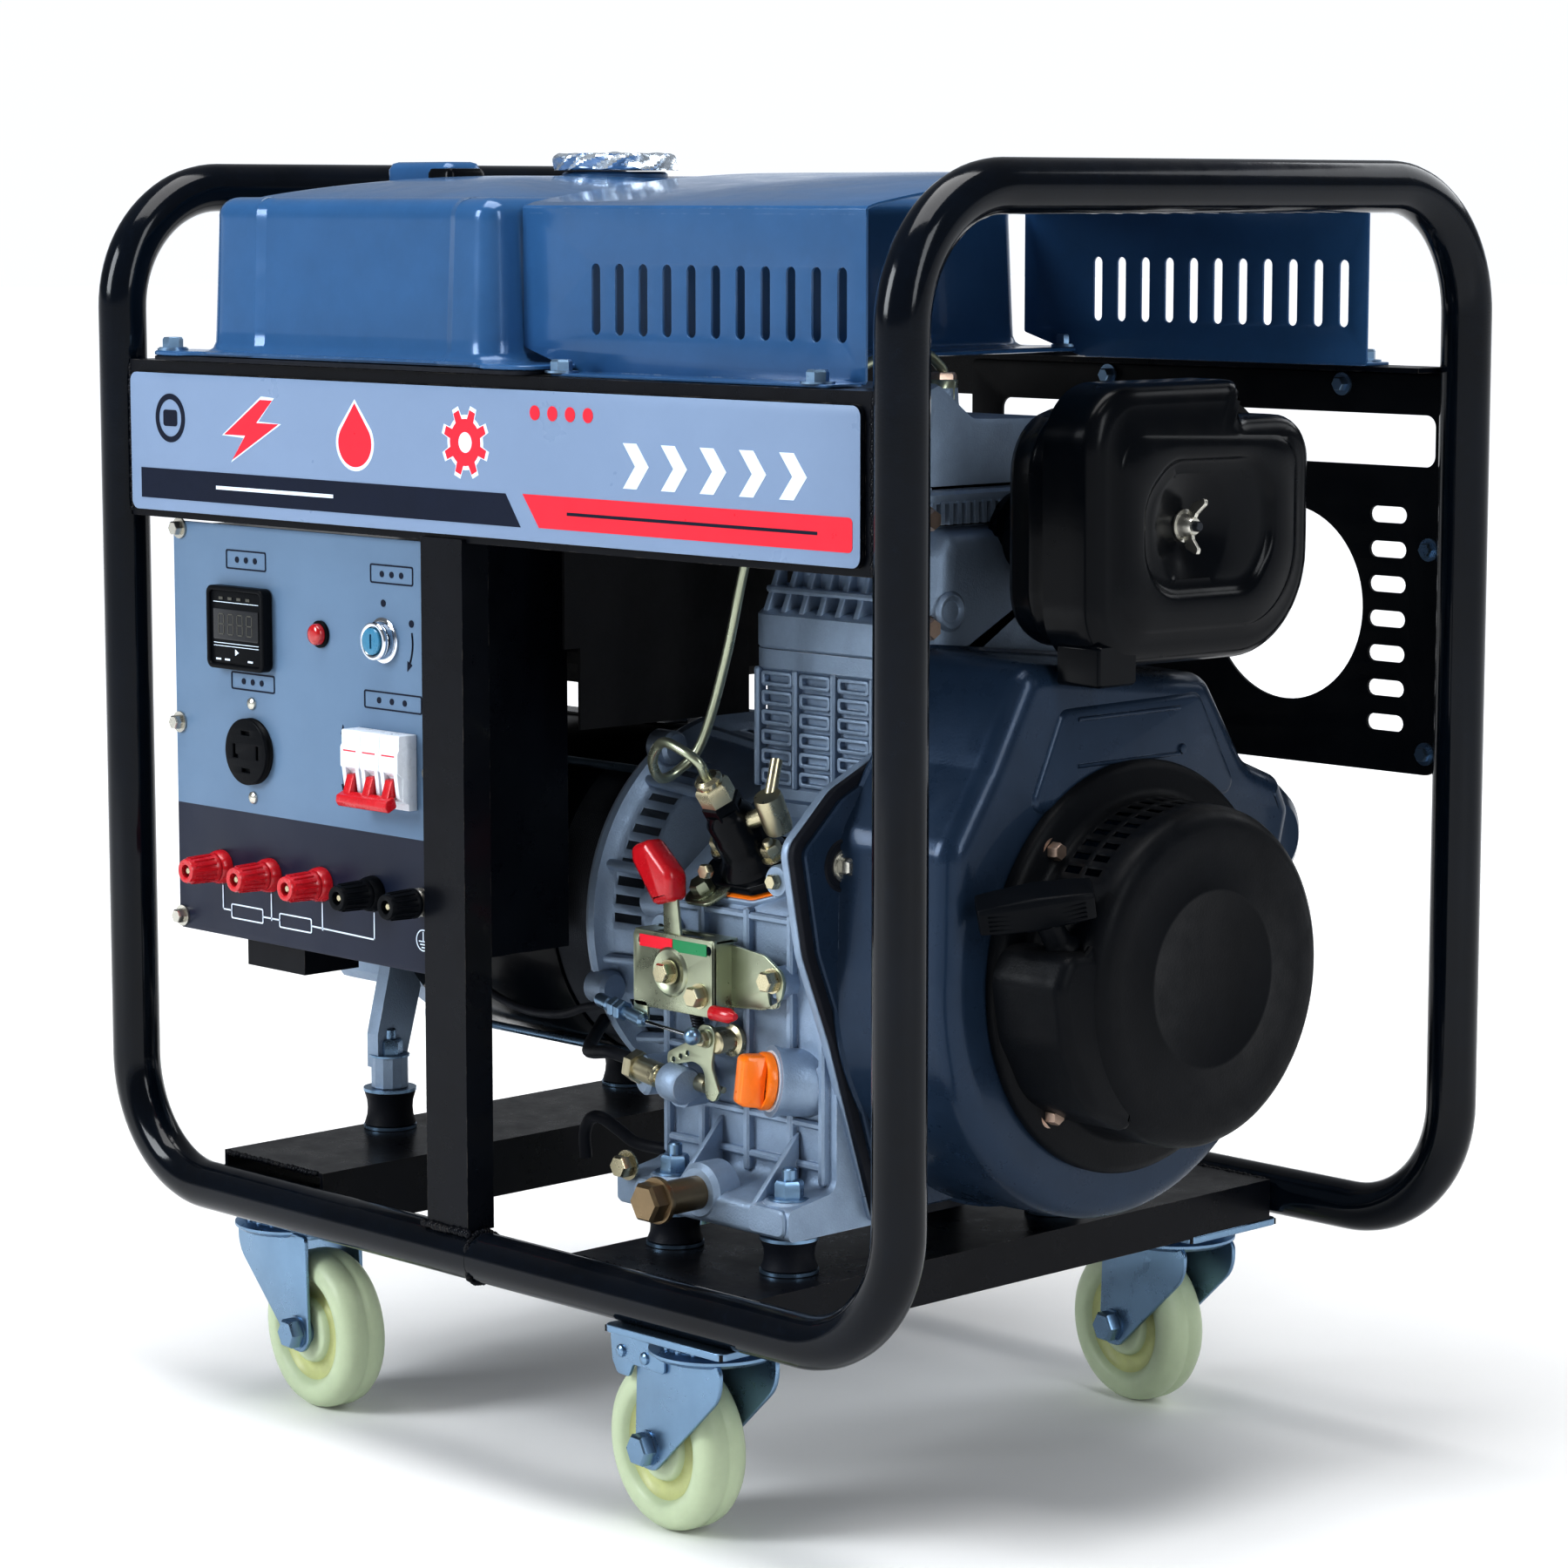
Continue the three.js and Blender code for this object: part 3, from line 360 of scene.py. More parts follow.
def rounded(points, radii, steps=6):
    """A polygon with each corner rounded; radii is one number or one for each corner."""
    if isinstance(radii, (int, float)):
        radii = [radii] * len(points)
    done = []
    count = len(points)
    for i in range(count):
        corner = Vector(points[i])
        back = Vector(points[i - 1]) - corner
        ahead = Vector(points[(i + 1) % count]) - corner
        half = back.angle(ahead) / 2
        if radii[i] <= 0 or half > 1.56:
            done.append(tuple(corner))
            continue
        reach = min(radii[i] / math.tan(half), back.length * 0.499, ahead.length * 0.499)
        r = reach * math.tan(half)
        a, b = corner + back.normalized() * reach, corner + ahead.normalized() * reach
        middle = corner + (back.normalized() + ahead.normalized()).normalized() * (r / math.sin(half))
        arm, sweep = a - middle, (a - middle).angle_signed(b - middle, 0.0)
        for k in range(steps + 1):
            turned = arm.copy()
            turned.rotate(Matrix.Rotation(-sweep * k / steps, 2))
            done.append(tuple(middle + turned))
    return done


def rect(u0, u1, v0, v1, r=0.0, steps=6):
    corners = [(u0, v0), (u1, v0), (u1, v1), (u0, v1)]
    return rounded(corners, r, steps) if r else corners


def drum(r, low, high):
    """The profile of a plain cylinder, for lathe()."""
    return [(0, low), (r, low), (r, high), (0, high)]


def inset(outline, by):
    """A closed outline moved inwards by a distance."""
    points = [Vector(p) for p in outline]
    points = [p for i, p in enumerate(points) if (p - points[i - 1]).length > 1e-4]
    after = points[1:] + points[:1]
    area = sum(a.x * b.y - b.x * a.y for a, b in zip(points, after))
    side = 1 if area > 0 else -1
    done = []
    for before, here, ahead in zip(points[-1:] + points[:-1], points, after):
        a, b = (here - before).normalized(), (ahead - here).normalized()
        normal = Vector((-a.y - b.y, a.x + b.x)).normalized() * side
        square = Vector((-a.y, a.x)) * side
        done.append(tuple(here + normal * by / max(0.4, normal.dot(square))))
    return done


def slot_outline(u, v, length, width, tilt=0.0, steps=5):
    """A round-ended slot about (u, v), its length along v before tilt degrees."""
    half = length / 2 - width / 2
    points = [(width / 2 * math.cos(a), half + width / 2 * math.sin(a)) for a in
              (math.pi * i / steps for i in range(steps + 1))]
    points += [(-p, -q) for p, q in points]
    c, s = math.cos(math.radians(tilt)), math.sin(math.radians(tilt))
    return [(u + p * c - q * s, v + p * s + q * c) for p, q in points]


def filleted(points, radius, steps=8):
    """A 3-D polyline with its inner corners rounded."""
    points = [Vector(p) for p in points]
    done = [points[0]]
    for before, corner, after in zip(points, points[1:], points[2:]):
        back, ahead = (before - corner).normalized(), (after - corner).normalized()
        half = back.angle(ahead) / 2
        if half > 1.55:
            done.append(corner)
            continue
        r = min(radius, 0.49 * min((before - corner).length, (after - corner).length) * math.tan(half))
        middle = corner + (back + ahead).normalized() * (r / math.sin(half))
        a = corner + back * (r / math.tan(half)) - middle
        b = corner + ahead * (r / math.tan(half)) - middle
        done += [middle + a.slerp(b, k / steps) * a.length for k in range(steps + 1)]
    return done + [points[-1]]


def smooth_path(points, steps=6):
    """Catmull-Rom points through a list."""
    points = [Vector(p) for p in points]
    ends = [points[0] * 2 - points[1], *points, points[-1] * 2 - points[-2]]
    done = []
    for a, b, c, d in zip(ends, ends[1:], ends[2:], ends[3:]):
        for k in range(steps):
            t = k / steps
            done.append(0.5 * (2 * b + (c - a) * t + (2 * a - 5 * b + 4 * c - d) * t * t
                               + (3 * b - a - 3 * c + d) * t ** 3))
    return done + [points[-1]]


class Build:
    """Collects shapes in one mesh, then makes a piece of it."""

    def __init__(self, name, place=None):
        self.name = name
        self.place = place or Matrix.Identity(4)
        self.bm = bmesh.new()

    def take(self, curve, matrix=None):
        """Adds what a curve's own extrusion and bevel make."""
        holder = bpy.data.objects.new("shape", curve)
        mesh = bpy.data.meshes.new_from_object(holder)
        if matrix:
            mesh.transform(matrix)
        self.bm.from_mesh(mesh)
        bpy.data.objects.remove(holder)
        bpy.data.curves.remove(curve)
        bpy.data.meshes.remove(mesh)
        return self

    def plate(self, axis, outlines, low, high, edge=0.0, place=None):
        """A plate across an axis, from one outline and any holes; edge rounds its rims."""
        curve = bpy.data.curves.new("shape", "CURVE")
        curve.dimensions = "2D"
        curve.fill_mode = "BOTH"
        curve.extrude = (high - low) / 2 - edge
        curve.bevel_depth = edge
        curve.bevel_resolution = 2
        curve.offset = -edge
        for outline in outlines:
            spline = curve.splines.new("POLY")
            spline.points.add(len(outline) - 1)
            for point, (u, v) in zip(spline.points, outline):
                point.co = (u, v, 0, 1)
            spline.use_cyclic_u = True
        middle = (low + high) / 2
        shift = {"x": (middle, 0, 0), "y": (0, middle, 0), "z": (0, 0, middle)}[axis]
        matrix = Matrix.Translation(shift) @ AXES[axis]
        return self.take(curve, place @ matrix if place else matrix)

    def tube(self, points, radius, sides=5, closed=False):
        """A round tube along points; sides is the curve's bevel resolution."""
        curve = bpy.data.curves.new("shape", "CURVE")
        curve.dimensions = "3D"
        curve.bevel_depth = radius
        curve.bevel_resolution = sides
        curve.use_fill_caps = True
        spline = curve.splines.new("POLY")
        spline.points.add(len(points) - 1)
        for point, co in zip(spline.points, points):
            point.co = (*co, 1)
        spline.use_cyclic_u = closed
        return self.take(curve)

    def lathe(self, profile, at, axis=UP, steps=40, skip=None):
        """Turns a profile of (radius, height) about an axis through a point; skip(row, step) leaves holes."""
        turn = Vector(UP).rotation_difference(Vector(axis)).to_matrix().to_4x4()
        matrix = Matrix.Translation(at) @ turn
        rows = []
        for r, h in profile:
            if r < 1e-6:
                rows.append([self.bm.verts.new(matrix @ Vector((0, 0, h)))])
            else:
                rows.append([self.bm.verts.new(matrix @ Vector((r * math.cos(a), r * math.sin(a), h)))
                             for a in (2 * math.pi * i / steps for i in range(steps))])
        for row, (low, high) in enumerate(zip(rows, rows[1:])):
            for i in range(steps):
                if skip and skip(row, i):
                    continue
                j = (i + 1) % steps
                corners = [low[i % len(low)], low[j % len(low)], high[j % len(high)], high[i % len(high)]]
                face = list(dict.fromkeys(corners))
                if len(face) > 2:
                    self.bm.faces.new(face)
        return self

    def skin(self, rings):
        """A surface through closed rings of points."""
        rows = []
        for loop in rings:
            if all((Vector(p) - Vector(loop[0])).length < 1e-6 for p in loop):
                rows.append([self.bm.verts.new(loop[0])] * len(loop))
            else:
                rows.append([self.bm.verts.new(p) for p in loop])
        for low, high in zip(rows, rows[1:]):
            for i in range(len(low)):
                face = list(dict.fromkeys([low[i - 1], low[i], high[i], high[i - 1]]))
                if len(face) > 2:
                    self.bm.faces.new(face)
        return rows

    def loft(self, rings):
        """A closed solid through rings of points."""
        rows = self.skin(rings)
        for row in (rows[0], rows[-1]):
            if len(set(row)) > 2:
                self.bm.faces.new(row)
        return self

    def stack(self, axis, outline, profile):
        """A solid of one outline: profile lists (inset, place along the axis)."""
        rings = []
        for by, w in profile:
            line = inset(outline, by)
            rings.append([{"x": (w, u, v), "y": (u, w, v), "z": (u, v, w)}[axis] for u, v in line])
        return self.loft(rings)

    def box(self, low, high, place=None):
        made = bmesh.ops.create_cube(self.bm, size=1.0)["verts"]
        low, high = Vector(low), Vector(high)
        size = Matrix.Diagonal((*(high - low), 1))
        matrix = Matrix.Translation((low + high) / 2) @ size
        bmesh.ops.transform(self.bm, matrix=place @ matrix if place else matrix, verts=made)
        return self

    def bolt(self, at, axis, across=10.0, head=5.0, washer=0.0, stud=0.0):
        """A hex head with a chamfered crown, a washer under it and a stud through it."""
        r = across / math.sqrt(3)
        if washer:
            self.lathe(drum(washer, 0, 1.2), at, axis, 20)
        low = 1.0 if washer else 0.0
        crown = low + head
        self.lathe([(0, low), (r, low), (r, low + head * 0.8), (r * 0.86, crown), (0, crown)], at, axis, 6)
        if stud:
            tip = head + stud
            shank = [(0, head), (r * 0.5, head), (r * 0.5, tip - 1), (r * 0.4, tip), (0, tip)]
            self.lathe(shank, at, axis, 14)
        return self

    def done(self, material, body="chassis", slot=None, replaces=None, angle=35, thicken=0.0):
        """Makes the piece in the row frame, on its body, in its finish; NODE_fine stands for NODE."""
        bm = self.bm
        bmesh.ops.remove_doubles(bm, verts=bm.verts, dist=0.002)
        bmesh.ops.recalc_face_normals(bm, faces=bm.faces)
        bm.transform(TO_ROW @ self.place)
        mesh = bpy.data.meshes.new(self.name)
        bm.to_mesh(mesh)
        bm.free()
        mesh.shade_smooth()
        mesh.set_sharp_from_angle(angle=math.radians(angle))
        mesh.materials.append(FINISHES[material])
        piece = bpy.data.objects.new(self.name, mesh)
        bpy.context.scene.collection.objects.link(piece)
        if thicken:
            solid = piece.modifiers.new("thickness", "SOLIDIFY")
            solid.thickness, solid.offset = thicken * 0.001, 0.0
        if body:
            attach(piece, body)
        if self.name.endswith("_fine"):
            replaces = self.name.removesuffix("_fine")
        if replaces:
            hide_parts(replaces)
        return piece


def soften(piece, width, segments=2, angle=40):
    """Rounds a piece's sharp edges by width millimetres."""
    made = piece.modifiers.new("edges", "BEVEL")
    made.width = width * 0.001
    made.segments = segments
    made.limit_method = "ANGLE"
    made.angle_limit = math.radians(angle)
    made.harden_normals = False


# ---------------------------------------------------------------- CAD nodes keep their shape and get a finish

slots = {part["node"]: part["material_slot"] for part in frame["record"]["subparts"]}
for node, thing in frame["nodes"].items():
    thing.data.materials.clear()
    thing.data.materials.append(FINISHES[SLOT_FINISH[slots[node]]])
    thing.data.shade_smooth()
    thing.data.set_sharp_from_angle(angle=math.radians(32))

# ---------------------------------------------------------------- camera, light and floor

CAMERA_AT = (1.96054, -1.8801 + CRANK.y, 0.75666)
CAMERA_DOWN, CAMERA_ROUND = 7.5127, 46.0748  # degrees
LENS, SENSOR = 102.07, 36.0
FLOOR_HALF = 30.0
GLOW_FROM, GLOW_TO = 0.8, 4.0  # metres from the middle, where the floor turns from lit to glowing white
LIT_AT = (0, 0, 0.45)
LAMPS = {
    # place, size, watts, tint
    "overhead": ((0.1, -0.3, 3.0), (2.0, 2.0), 95, (1.0, 0.99, 0.98)),
    "panel_side": ((-1.3, -3.0, 1.9), (1.2, 1.6), 95, (0.93, 0.97, 1.0)),
    "starter_side": ((3.0, -0.5, 1.9), (0.7, 1.8), 34, (0.95, 0.98, 1.0)),
    "rear": ((0.5, 3.2, 2.2), (3.0, 1.6), 40, (0.96, 0.98, 1.0)),
}
CARD_TOWARD = (-0.72, 0.69, 0.0)


def aim_camera():
    camera = bpy.data.objects.new("camera", bpy.data.cameras.new("camera"))
    camera.location = CAMERA_AT
    camera.rotation_euler = (math.radians(90 - CAMERA_DOWN), 0, math.radians(CAMERA_ROUND))
    camera.data.lens = LENS
    camera.data.sensor_width = SENSOR
    bpy.context.scene.collection.objects.link(camera)
    bpy.context.scene.camera = camera


def lay_floor():
    """A pale floor that glows white away from the object, so that its far edge can't be seen."""
    s = Shader("pale_floor")
    tone = s.remap(s.noise(3.0, 3.0), 0.3, 0.7)
    s.link(s.blend(tone, (0.86, 0.86, 0.86), (0.9, 0.9, 0.9)), s.bsdf.inputs["Base Color"])
    s.bsdf.inputs["Roughness"].default_value = 0.7
    reach = s.node("ShaderNodeVectorMath", operation="LENGTH")
    s.link(s.where, reach.inputs[0])
    s.bsdf.inputs["Emission Color"].default_value = (0.96, 0.98, 1.0, 1)
    glow = s.remap(reach.outputs["Value"], GLOW_FROM, GLOW_TO, 0.05, 0.9)
    s.link(glow, s.bsdf.inputs["Emission Strength"])
    mesh = bpy.data.meshes.new("floor")
    bm = bmesh.new()
    bmesh.ops.create_grid(bm, x_segments=2, y_segments=2, size=FLOOR_HALF)
    bm.to_mesh(mesh)
    bm.free()
    mesh.materials.append(s.material)
    floor = bpy.data.objects.new("floor", mesh)
    bpy.context.scene.collection.objects.link(floor)


def area_light(name, at, size, power, tint):
    lamp = bpy.data.lights.new(name, "AREA")
    lamp.shape, lamp.size, lamp.size_y = "RECTANGLE", size[0], size[1]
    lamp.energy, lamp.color = power, tint
    holder = bpy.data.objects.new(name, lamp)
    holder.location = at
    holder.rotation_euler = (Vector(LIT_AT) - Vector(at)).to_track_quat("-Z", "Y").to_euler()
    bpy.context.scene.collection.objects.link(holder)


def studio_world():
    """A white card low on the far side and a white horizon, dim elsewhere so that the blacks stay black."""
    world = bpy.data.worlds.new("studio")
    world.use_nodes = True
    tree = world.node_tree
    background = tree.nodes["Background"]
    background.inputs["Color"].default_value = (0.93, 0.96, 1.0, 1)
    direction = tree.nodes.new("ShaderNodeTexCoord").outputs["Generated"]

    def ramp(value, start, end, low, high):
        made = tree.nodes.new("ShaderNodeMapRange")
        made.interpolation_type = "SMOOTHSTEP"
        for socket, amount in (("From Min", start), ("From Max", end), ("To Min", low), ("To Max", high)):
            made.inputs[socket].default_value = amount
        tree.links.new(value, made.inputs["Value"])
        return made.outputs["Result"]

    toward = tree.nodes.new("ShaderNodeVectorMath")
    toward.operation = "DOT_PRODUCT"
    toward.inputs[1].default_value = CARD_TOWARD
    tree.links.new(direction, toward.inputs[0])
    height = tree.nodes.new("ShaderNodeSeparateXYZ")
    tree.links.new(direction, height.inputs["Vector"])
    card = tree.nodes.new("ShaderNodeMath")
    card.operation = "MULTIPLY_ADD"
    tree.links.new(ramp(toward.outputs["Value"], 0.6, 0.95, 0.0, 1.0), card.inputs[0])
    tree.links.new(ramp(height.outputs["Z"], 0.06, 0.16, 0.85, 0.12), card.inputs[1])
    card.inputs[2].default_value = 0.22
    horizon = tree.nodes.new("ShaderNodeMath")
    horizon.operation = "MAXIMUM"
    tree.links.new(card.outputs["Value"], horizon.inputs[0])
    tree.links.new(ramp(height.outputs["Z"], 0.035, 0.075, 0.88, 0.2), horizon.inputs[1])
    tree.links.new(horizon.outputs["Value"], background.inputs["Strength"])
    return world


aim_camera()
lay_floor()
for name, setting in LAMPS.items():
    area_light(name, *setting)
bpy.context.scene.world = studio_world()
bpy.context.scene.view_settings.view_transform = "Standard"
bpy.context.scene.view_settings.gamma = 0.82

# ---------------------------------------------------------------- frame

TUBE_R = 15.0
left_low, left_high = box_of("frame_tube_left")
HALF_L = -left_low.x - TUBE_R
HALF_W = left_high.y - TUBE_R
RAIL_Z, TOP_Z = left_low.z + TUBE_R, left_high.z - TUBE_R
BEND_R = 75.0

for name, side in (("left", -1), ("right", 1)):
    x, seam = side * HALF_L, side * 0.15
    loop = filleted([(seam, -HALF_W, RAIL_Z), (x, -HALF_W, RAIL_Z), (x, -HALF_W, TOP_Z), (x, HALF_W, TOP_Z),
                     (x, HALF_W, RAIL_Z), (seam, HALF_W, RAIL_Z)], BEND_R, 20)
    Build("frame_tube_" + name + "_fine").tube(loop, TUBE_R, 10).done("tube", angle=60)

for node in ("front_brace", "rear_brace", "base_channel_left", "base_channel_right", "control_box"):
    soften(frame["nodes"][node], 1.0)


def bead(build, points, radius=2.4):
    """A weld bead: a wavy line of overlapping drops."""
    path = []
    for a, b in zip(points, points[1:]):
        a, b = Vector(a), Vector(b)
        count = max(2, int((b - a).length / 2.2))
        path += [a.lerp(b, i / count) for i in range(count)]
    path.append(Vector(points[-1]))
    for i, p in enumerate(path):
        jitter = Vector([random.uniform(-0.4, 0.4) for _ in range(3)])
        p.y = max(3 - left_high.y, min(left_high.y - 3, p.y))
        r = radius * random.uniform(0.8, 1.15)
        build.lathe([(0, -r), (r * 0.8, -r * 0.6), (r, 0), (r * 0.8, r * 0.6), (0, r)], p + jitter, UP, 8)


brace_low, brace_high = box_of("front_brace")
BEAM_LOW = brace_high.z - 97
welds = Build("frame_welds")
for y in (-HALF_W, HALF_W):
    circle = ring(y, RAIL_Z, TUBE_R + 0.2, 24)
    bead(welds, [(0, u, v) for u, v in circle + circle[:1]], 2.0)
post_foot = RAIL_Z + TUBE_R
bead(welds, [(-42, -247, post_foot), (-1, -247, post_foot)], 2.6)
for x in (-1, 1):
    edge = x * (HALF_L - TUBE_R)
    bead(welds, [(edge, -242, BEAM_LOW + 4), (edge, -242, brace_high.z - 4)], 2.2)
    bead(welds, [(edge, 241, 631), (edge, 241, 655)], 2.2)
for node in ("base_channel_left", "base_channel_right"):
    low, high = box_of(node)
    deck_x = (max(low.x, -271), min(high.x, 215))
    for y in (-1, 1):
        seam_y = y * (HALF_W - TUBE_R)
        bead(welds, [(deck_x[0] + 6, seam_y, high.z - 1), (deck_x[1] - 6, seam_y, high.z - 1)], 2.0)
welds.done("black", angle=180)

# ---------------------------------------------------------------- castors

TRAIL = 35.0
WHEEL_R = 50.0
LEG_IN, LEG_OUT = 18.5, 21.5
CASTOR_HEADING = {"fl": -5, "fr": 174, "rl": 150, "rr": 172}
WHEEL_SIDE = [(6, 14.5), (17.5, 14.5), (19.6, 13.6), (20.6, 11), (21.6, 8.8), (25, 8.0), (29.5, 8.8),
              (32, 11.6), (33.6, 14.4), (36, 15.7), (39, 16), (42.6, 15.5), (46.2, 13.7), (48.8, 10.4),
              (49.8, 6.6), (50, 2.2), (49.1, 0.7)]


def castor_place(name):
    """A castor's own frame: swivel axis at the origin, wheel ahead on +X, floor at z = 0."""
    heading = math.radians(CASTOR_HEADING[name])
    wheel = FROM_ROW @ centre_of("castor_wheel_" + name)
    swivel = wheel - TRAIL * Vector((math.cos(heading), math.sin(heading), 0))
    return Matrix.Translation((swivel.x, swivel.y, 0)) @ Matrix.Rotation(heading, 4, "Z")


def castor_fork(name):
    fork = Build("castor_fork_" + name + "_fine", castor_place(name))
    leg = rounded([(45, 112.5), (-33, 112.5), (-33, 93), (22, 44), (29, 37.5), (41, 37.5), (47.5, 45),
                   (46, 84)], [4, 7, 26, 14, 9, 9, 10, 30])
    for side in (-1, 1):
        fork.plate("y", [leg], *sorted((side * LEG_IN, side * LEG_OUT)), edge=0.9)
        fork.bolt((TRAIL, side * LEG_OUT, WHEEL_R), (0, side, 0), 17, 8.0, washer=10.5)
        fork.lathe(drum(8.5, 0, 4.0), (TRAIL, side * LEG_IN, WHEEL_R), (0, -side, 0), 20)
    fork.plate("z", [rect(-31, 44, -LEG_OUT, LEG_OUT, 9)], 109.5, 112.8, edge=0.8)
    fork.lathe([(0, 107.5), (25, 107.5), (34, 109), (37.5, 111.5), (37.5, 113.2), (34, 114.6), (30.5, 115),
                (29.5, 116.4), (31.5, 117.6), (31.5, 120.3), (0, 120.3)], (0, 0, 0), UP, 48)
    for i in range(18):
        turn = math.radians(20 * i)
        fork.lathe([(0, -2), (1.8, -1.2), (2.2, 0), (1.8, 1.2), (0, 2)],
                   (29.8 * math.cos(turn), 29.8 * math.sin(turn), 115.8), UP, 8)
    if name == "fr":
        tab = rounded([(16, 113), (16, 97), (46, 97), (50, 89), (61, 89), (66, 96), (68, 113)], 3)
        fork.plate("y", [tab], LEG_OUT, LEG_OUT + 2.4, edge=0.6)
        for x in (34, 57):
            fork.lathe([(0, 0), (3.8, 0), (3.5, 1.4), (2.2, 2.3), (0, 2.6)],
                       (x, LEG_OUT + 2.3, 103), BACK, 20)
    fork.done("zinc", body="castor_" + name, angle=38)


def castor_wheel(name):
    place = castor_place(name)
    axle, along = (TRAIL, 0, WHEEL_R), (0, 1, 0)
    profile = [(r, -h) for r, h in WHEEL_SIDE] + [(r, h) for r, h in reversed(WHEEL_SIDE)]
    tyre = Build("castor_wheel_" + name + "_fine", place)
    tyre.lathe(profile + profile[:1], axle, along, 72)
    tyre.done("nylon", body="wheel_" + name, angle=50)
    recess = Build("castor_wheel_" + name + "_recess", place)
    for side in (-1, 1):
        band = [(20.9, 10.6), (21.9, 8.9), (25, 8.15), (29.4, 8.95), (31.7, 11.4)]
        recess.lathe([(r, side * h) for r, h in band] + [(r, side * (h - 0.6)) for r, h in reversed(band)]
                     + [(band[0][0], side * band[0][1])], axle, along, 60)
    recess.done("nylon_hub", body="wheel_" + name, angle=50)


for castor in CASTOR_HEADING:
    castor_fork(castor)
    castor_wheel(castor)

top_plates = Build("castor_top_plates")
for castor in CASTOR_HEADING:
    swivel = castor_place(castor).translation
    top_plates.plate("z", [rect(swivel.x - 48.8, swivel.x + 48.8, swivel.y - 40.8, swivel.y + 40.8, 5)],
                     120.5, 125, edge=0.6)
top_plates.done("zinc")

# ---------------------------------------------------------------- sign

SIGN_Y = brace_low.y
PRINT_ON_SIGN = (SIGN_Y - 0.8, SIGN_Y - 0.45)


def sign_face():
    face = Build("sign_face")
    face.plate("y", [rect(-322.5, 321.5, 564.5, 649.5, 6)], SIGN_Y - 0.5, SIGN_Y - 0.05, edge=0.15)
    face.done("sign", angle=30)
    dark = Build("sign_dark_band")
    dark.plate("y", [[(-312, 590.5), (37, 590.5), (50, 572), (-312, 572)]], SIGN_Y - 0.75, SIGN_Y - 0.45)
    dark.done("navy")
    red = Build("sign_red_band")
    red.plate("y", [rounded([(52, 591), (66, 572.5), (316, 572.5), (316, 591)], [0.1, 0.1, 3, 3])],
              SIGN_Y - 0.75, SIGN_Y - 0.45)
    red.done("sign_red")


def gear_outline(u, v, r_in, r_out, teeth=8):
    points = []
    for i in range(teeth):
        for part, r in ((0.0, r_in), (0.28, r_in), (0.38, r_out), (0.72, r_out), (0.82, r_in)):
            turn = 2 * math.pi * (i + part) / teeth
            points.append((u + r * math.cos(turn), v + r * math.sin(turn)))
    return points


def grown(outline, by):
    """An outline pushed outwards from its middle."""
    cu = sum(p[0] for p in outline) / len(outline)
    cv = sum(p[1] for p in outline) / len(outline)
    done = []
    for u, v in outline:
        reach = math.hypot(u - cu, v - cv)
        done.append((cu + (u - cu) * (1 + by / reach), cv + (v - cv) * (1 + by / reach)))
    return done


def pictograms():
    """Plain signs in place of lettering: a spark, a drop and a gear in red, arrows in white."""
    spark = [(-190, 636), (-226, 614), (-205, 614), (-218, 599), (-172, 622), (-194, 622), (-178, 636)]
    drop = [(-99, 637)] + [(-99 + 15.5 * math.sin(a), 613.5 - 14 * math.cos(a)) for a in
                           (math.radians(120 - 10 * i) for i in range(25))]
    gear = gear_outline(2, 618, 13.5, 19)
    red, rim = Build("sign_red_pictograms"), Build("sign_white_pictograms")
    for outline, holes in ((spark, []), (drop, []), (gear, [ring(2, 618, 6, 24)])):
        rim.plate("y", [grown(outline, 2.4)], SIGN_Y - 0.62, SIGN_Y - 0.45)
        red.plate("y", [outline, *holes], SIGN_Y - 0.8, SIGN_Y - 0.6)
    for i in range(5):
        x = 146 + 31 * i
        rim.plate("y", [[(x - 9, 623), (x + 2, 623), (x + 12, 610.5), (x + 2, 598), (x - 9, 598),
                         (x + 1, 610.5)]], *PRINT_ON_SIGN)
    for i in range(4):
        red.plate("y", [ring(63 + 15 * i, 637, 4.2, 20)], *PRINT_ON_SIGN)
    rim.plate("y", [rect(-235, -120, 580.2, 582.4)], SIGN_Y - 0.9, SIGN_Y - 0.7)
    rim.done("white_print")
    red.done("sign_red")
    badge = Build("sign_badge")
    badge.plate("y", [ring(-281, 622, 15, 40), ring(-281, 622, 11.5, 40)], *PRINT_ON_SIGN)
    badge.plate("y", [rect(-288, -274, 617, 627, 2)], *PRINT_ON_SIGN)
    badge.plate("y", [rect(90, 290, 580.6, 582.4)], SIGN_Y - 0.9, SIGN_Y - 0.7)
    badge.done("navy")


sign_face()
pictograms()

# ---------------------------------------------------------------- control panel

PANEL_Y = box_of("digital_meter")[1].y + 0.3
PRINT_Y = (PANEL_Y - 0.35, PANEL_Y - 0.12)
TERMINALS = {name: (FROM_ROW @ centre_of("terminal_knob_" + name))
             for name in ("red_1", "red_2", "red_3", "black", "earth")}


def frame_lines(build, u0, u1, v0, v1, width=0.9, r=1.5):
    """A printed outline box."""
    build.plate("y", [rect(u0, u1, v0, v1, r),
                      rect(u0 + width, u1 - width, v0 + width, v1 - width, r * 0.6)], *PRINT_Y)


def stroke(build, points, width=1.0):
    """A printed line through points on the panel."""
    for (u0, v0), (u1, v1) in zip(points, points[1:]):
        way = Vector((u1 - u0, v1 - v0)).normalized() * width / 2
        build.plate("y", [[(u0 - way.y - way.x, v0 + way.x - way.y),
                           (u0 + way.y - way.x, v0 - way.x - way.y),
                           (u1 + way.y + way.x, v1 - way.x + way.y),
                           (u1 - way.y + way.x, v1 + way.x + way.y)]], *PRINT_Y)


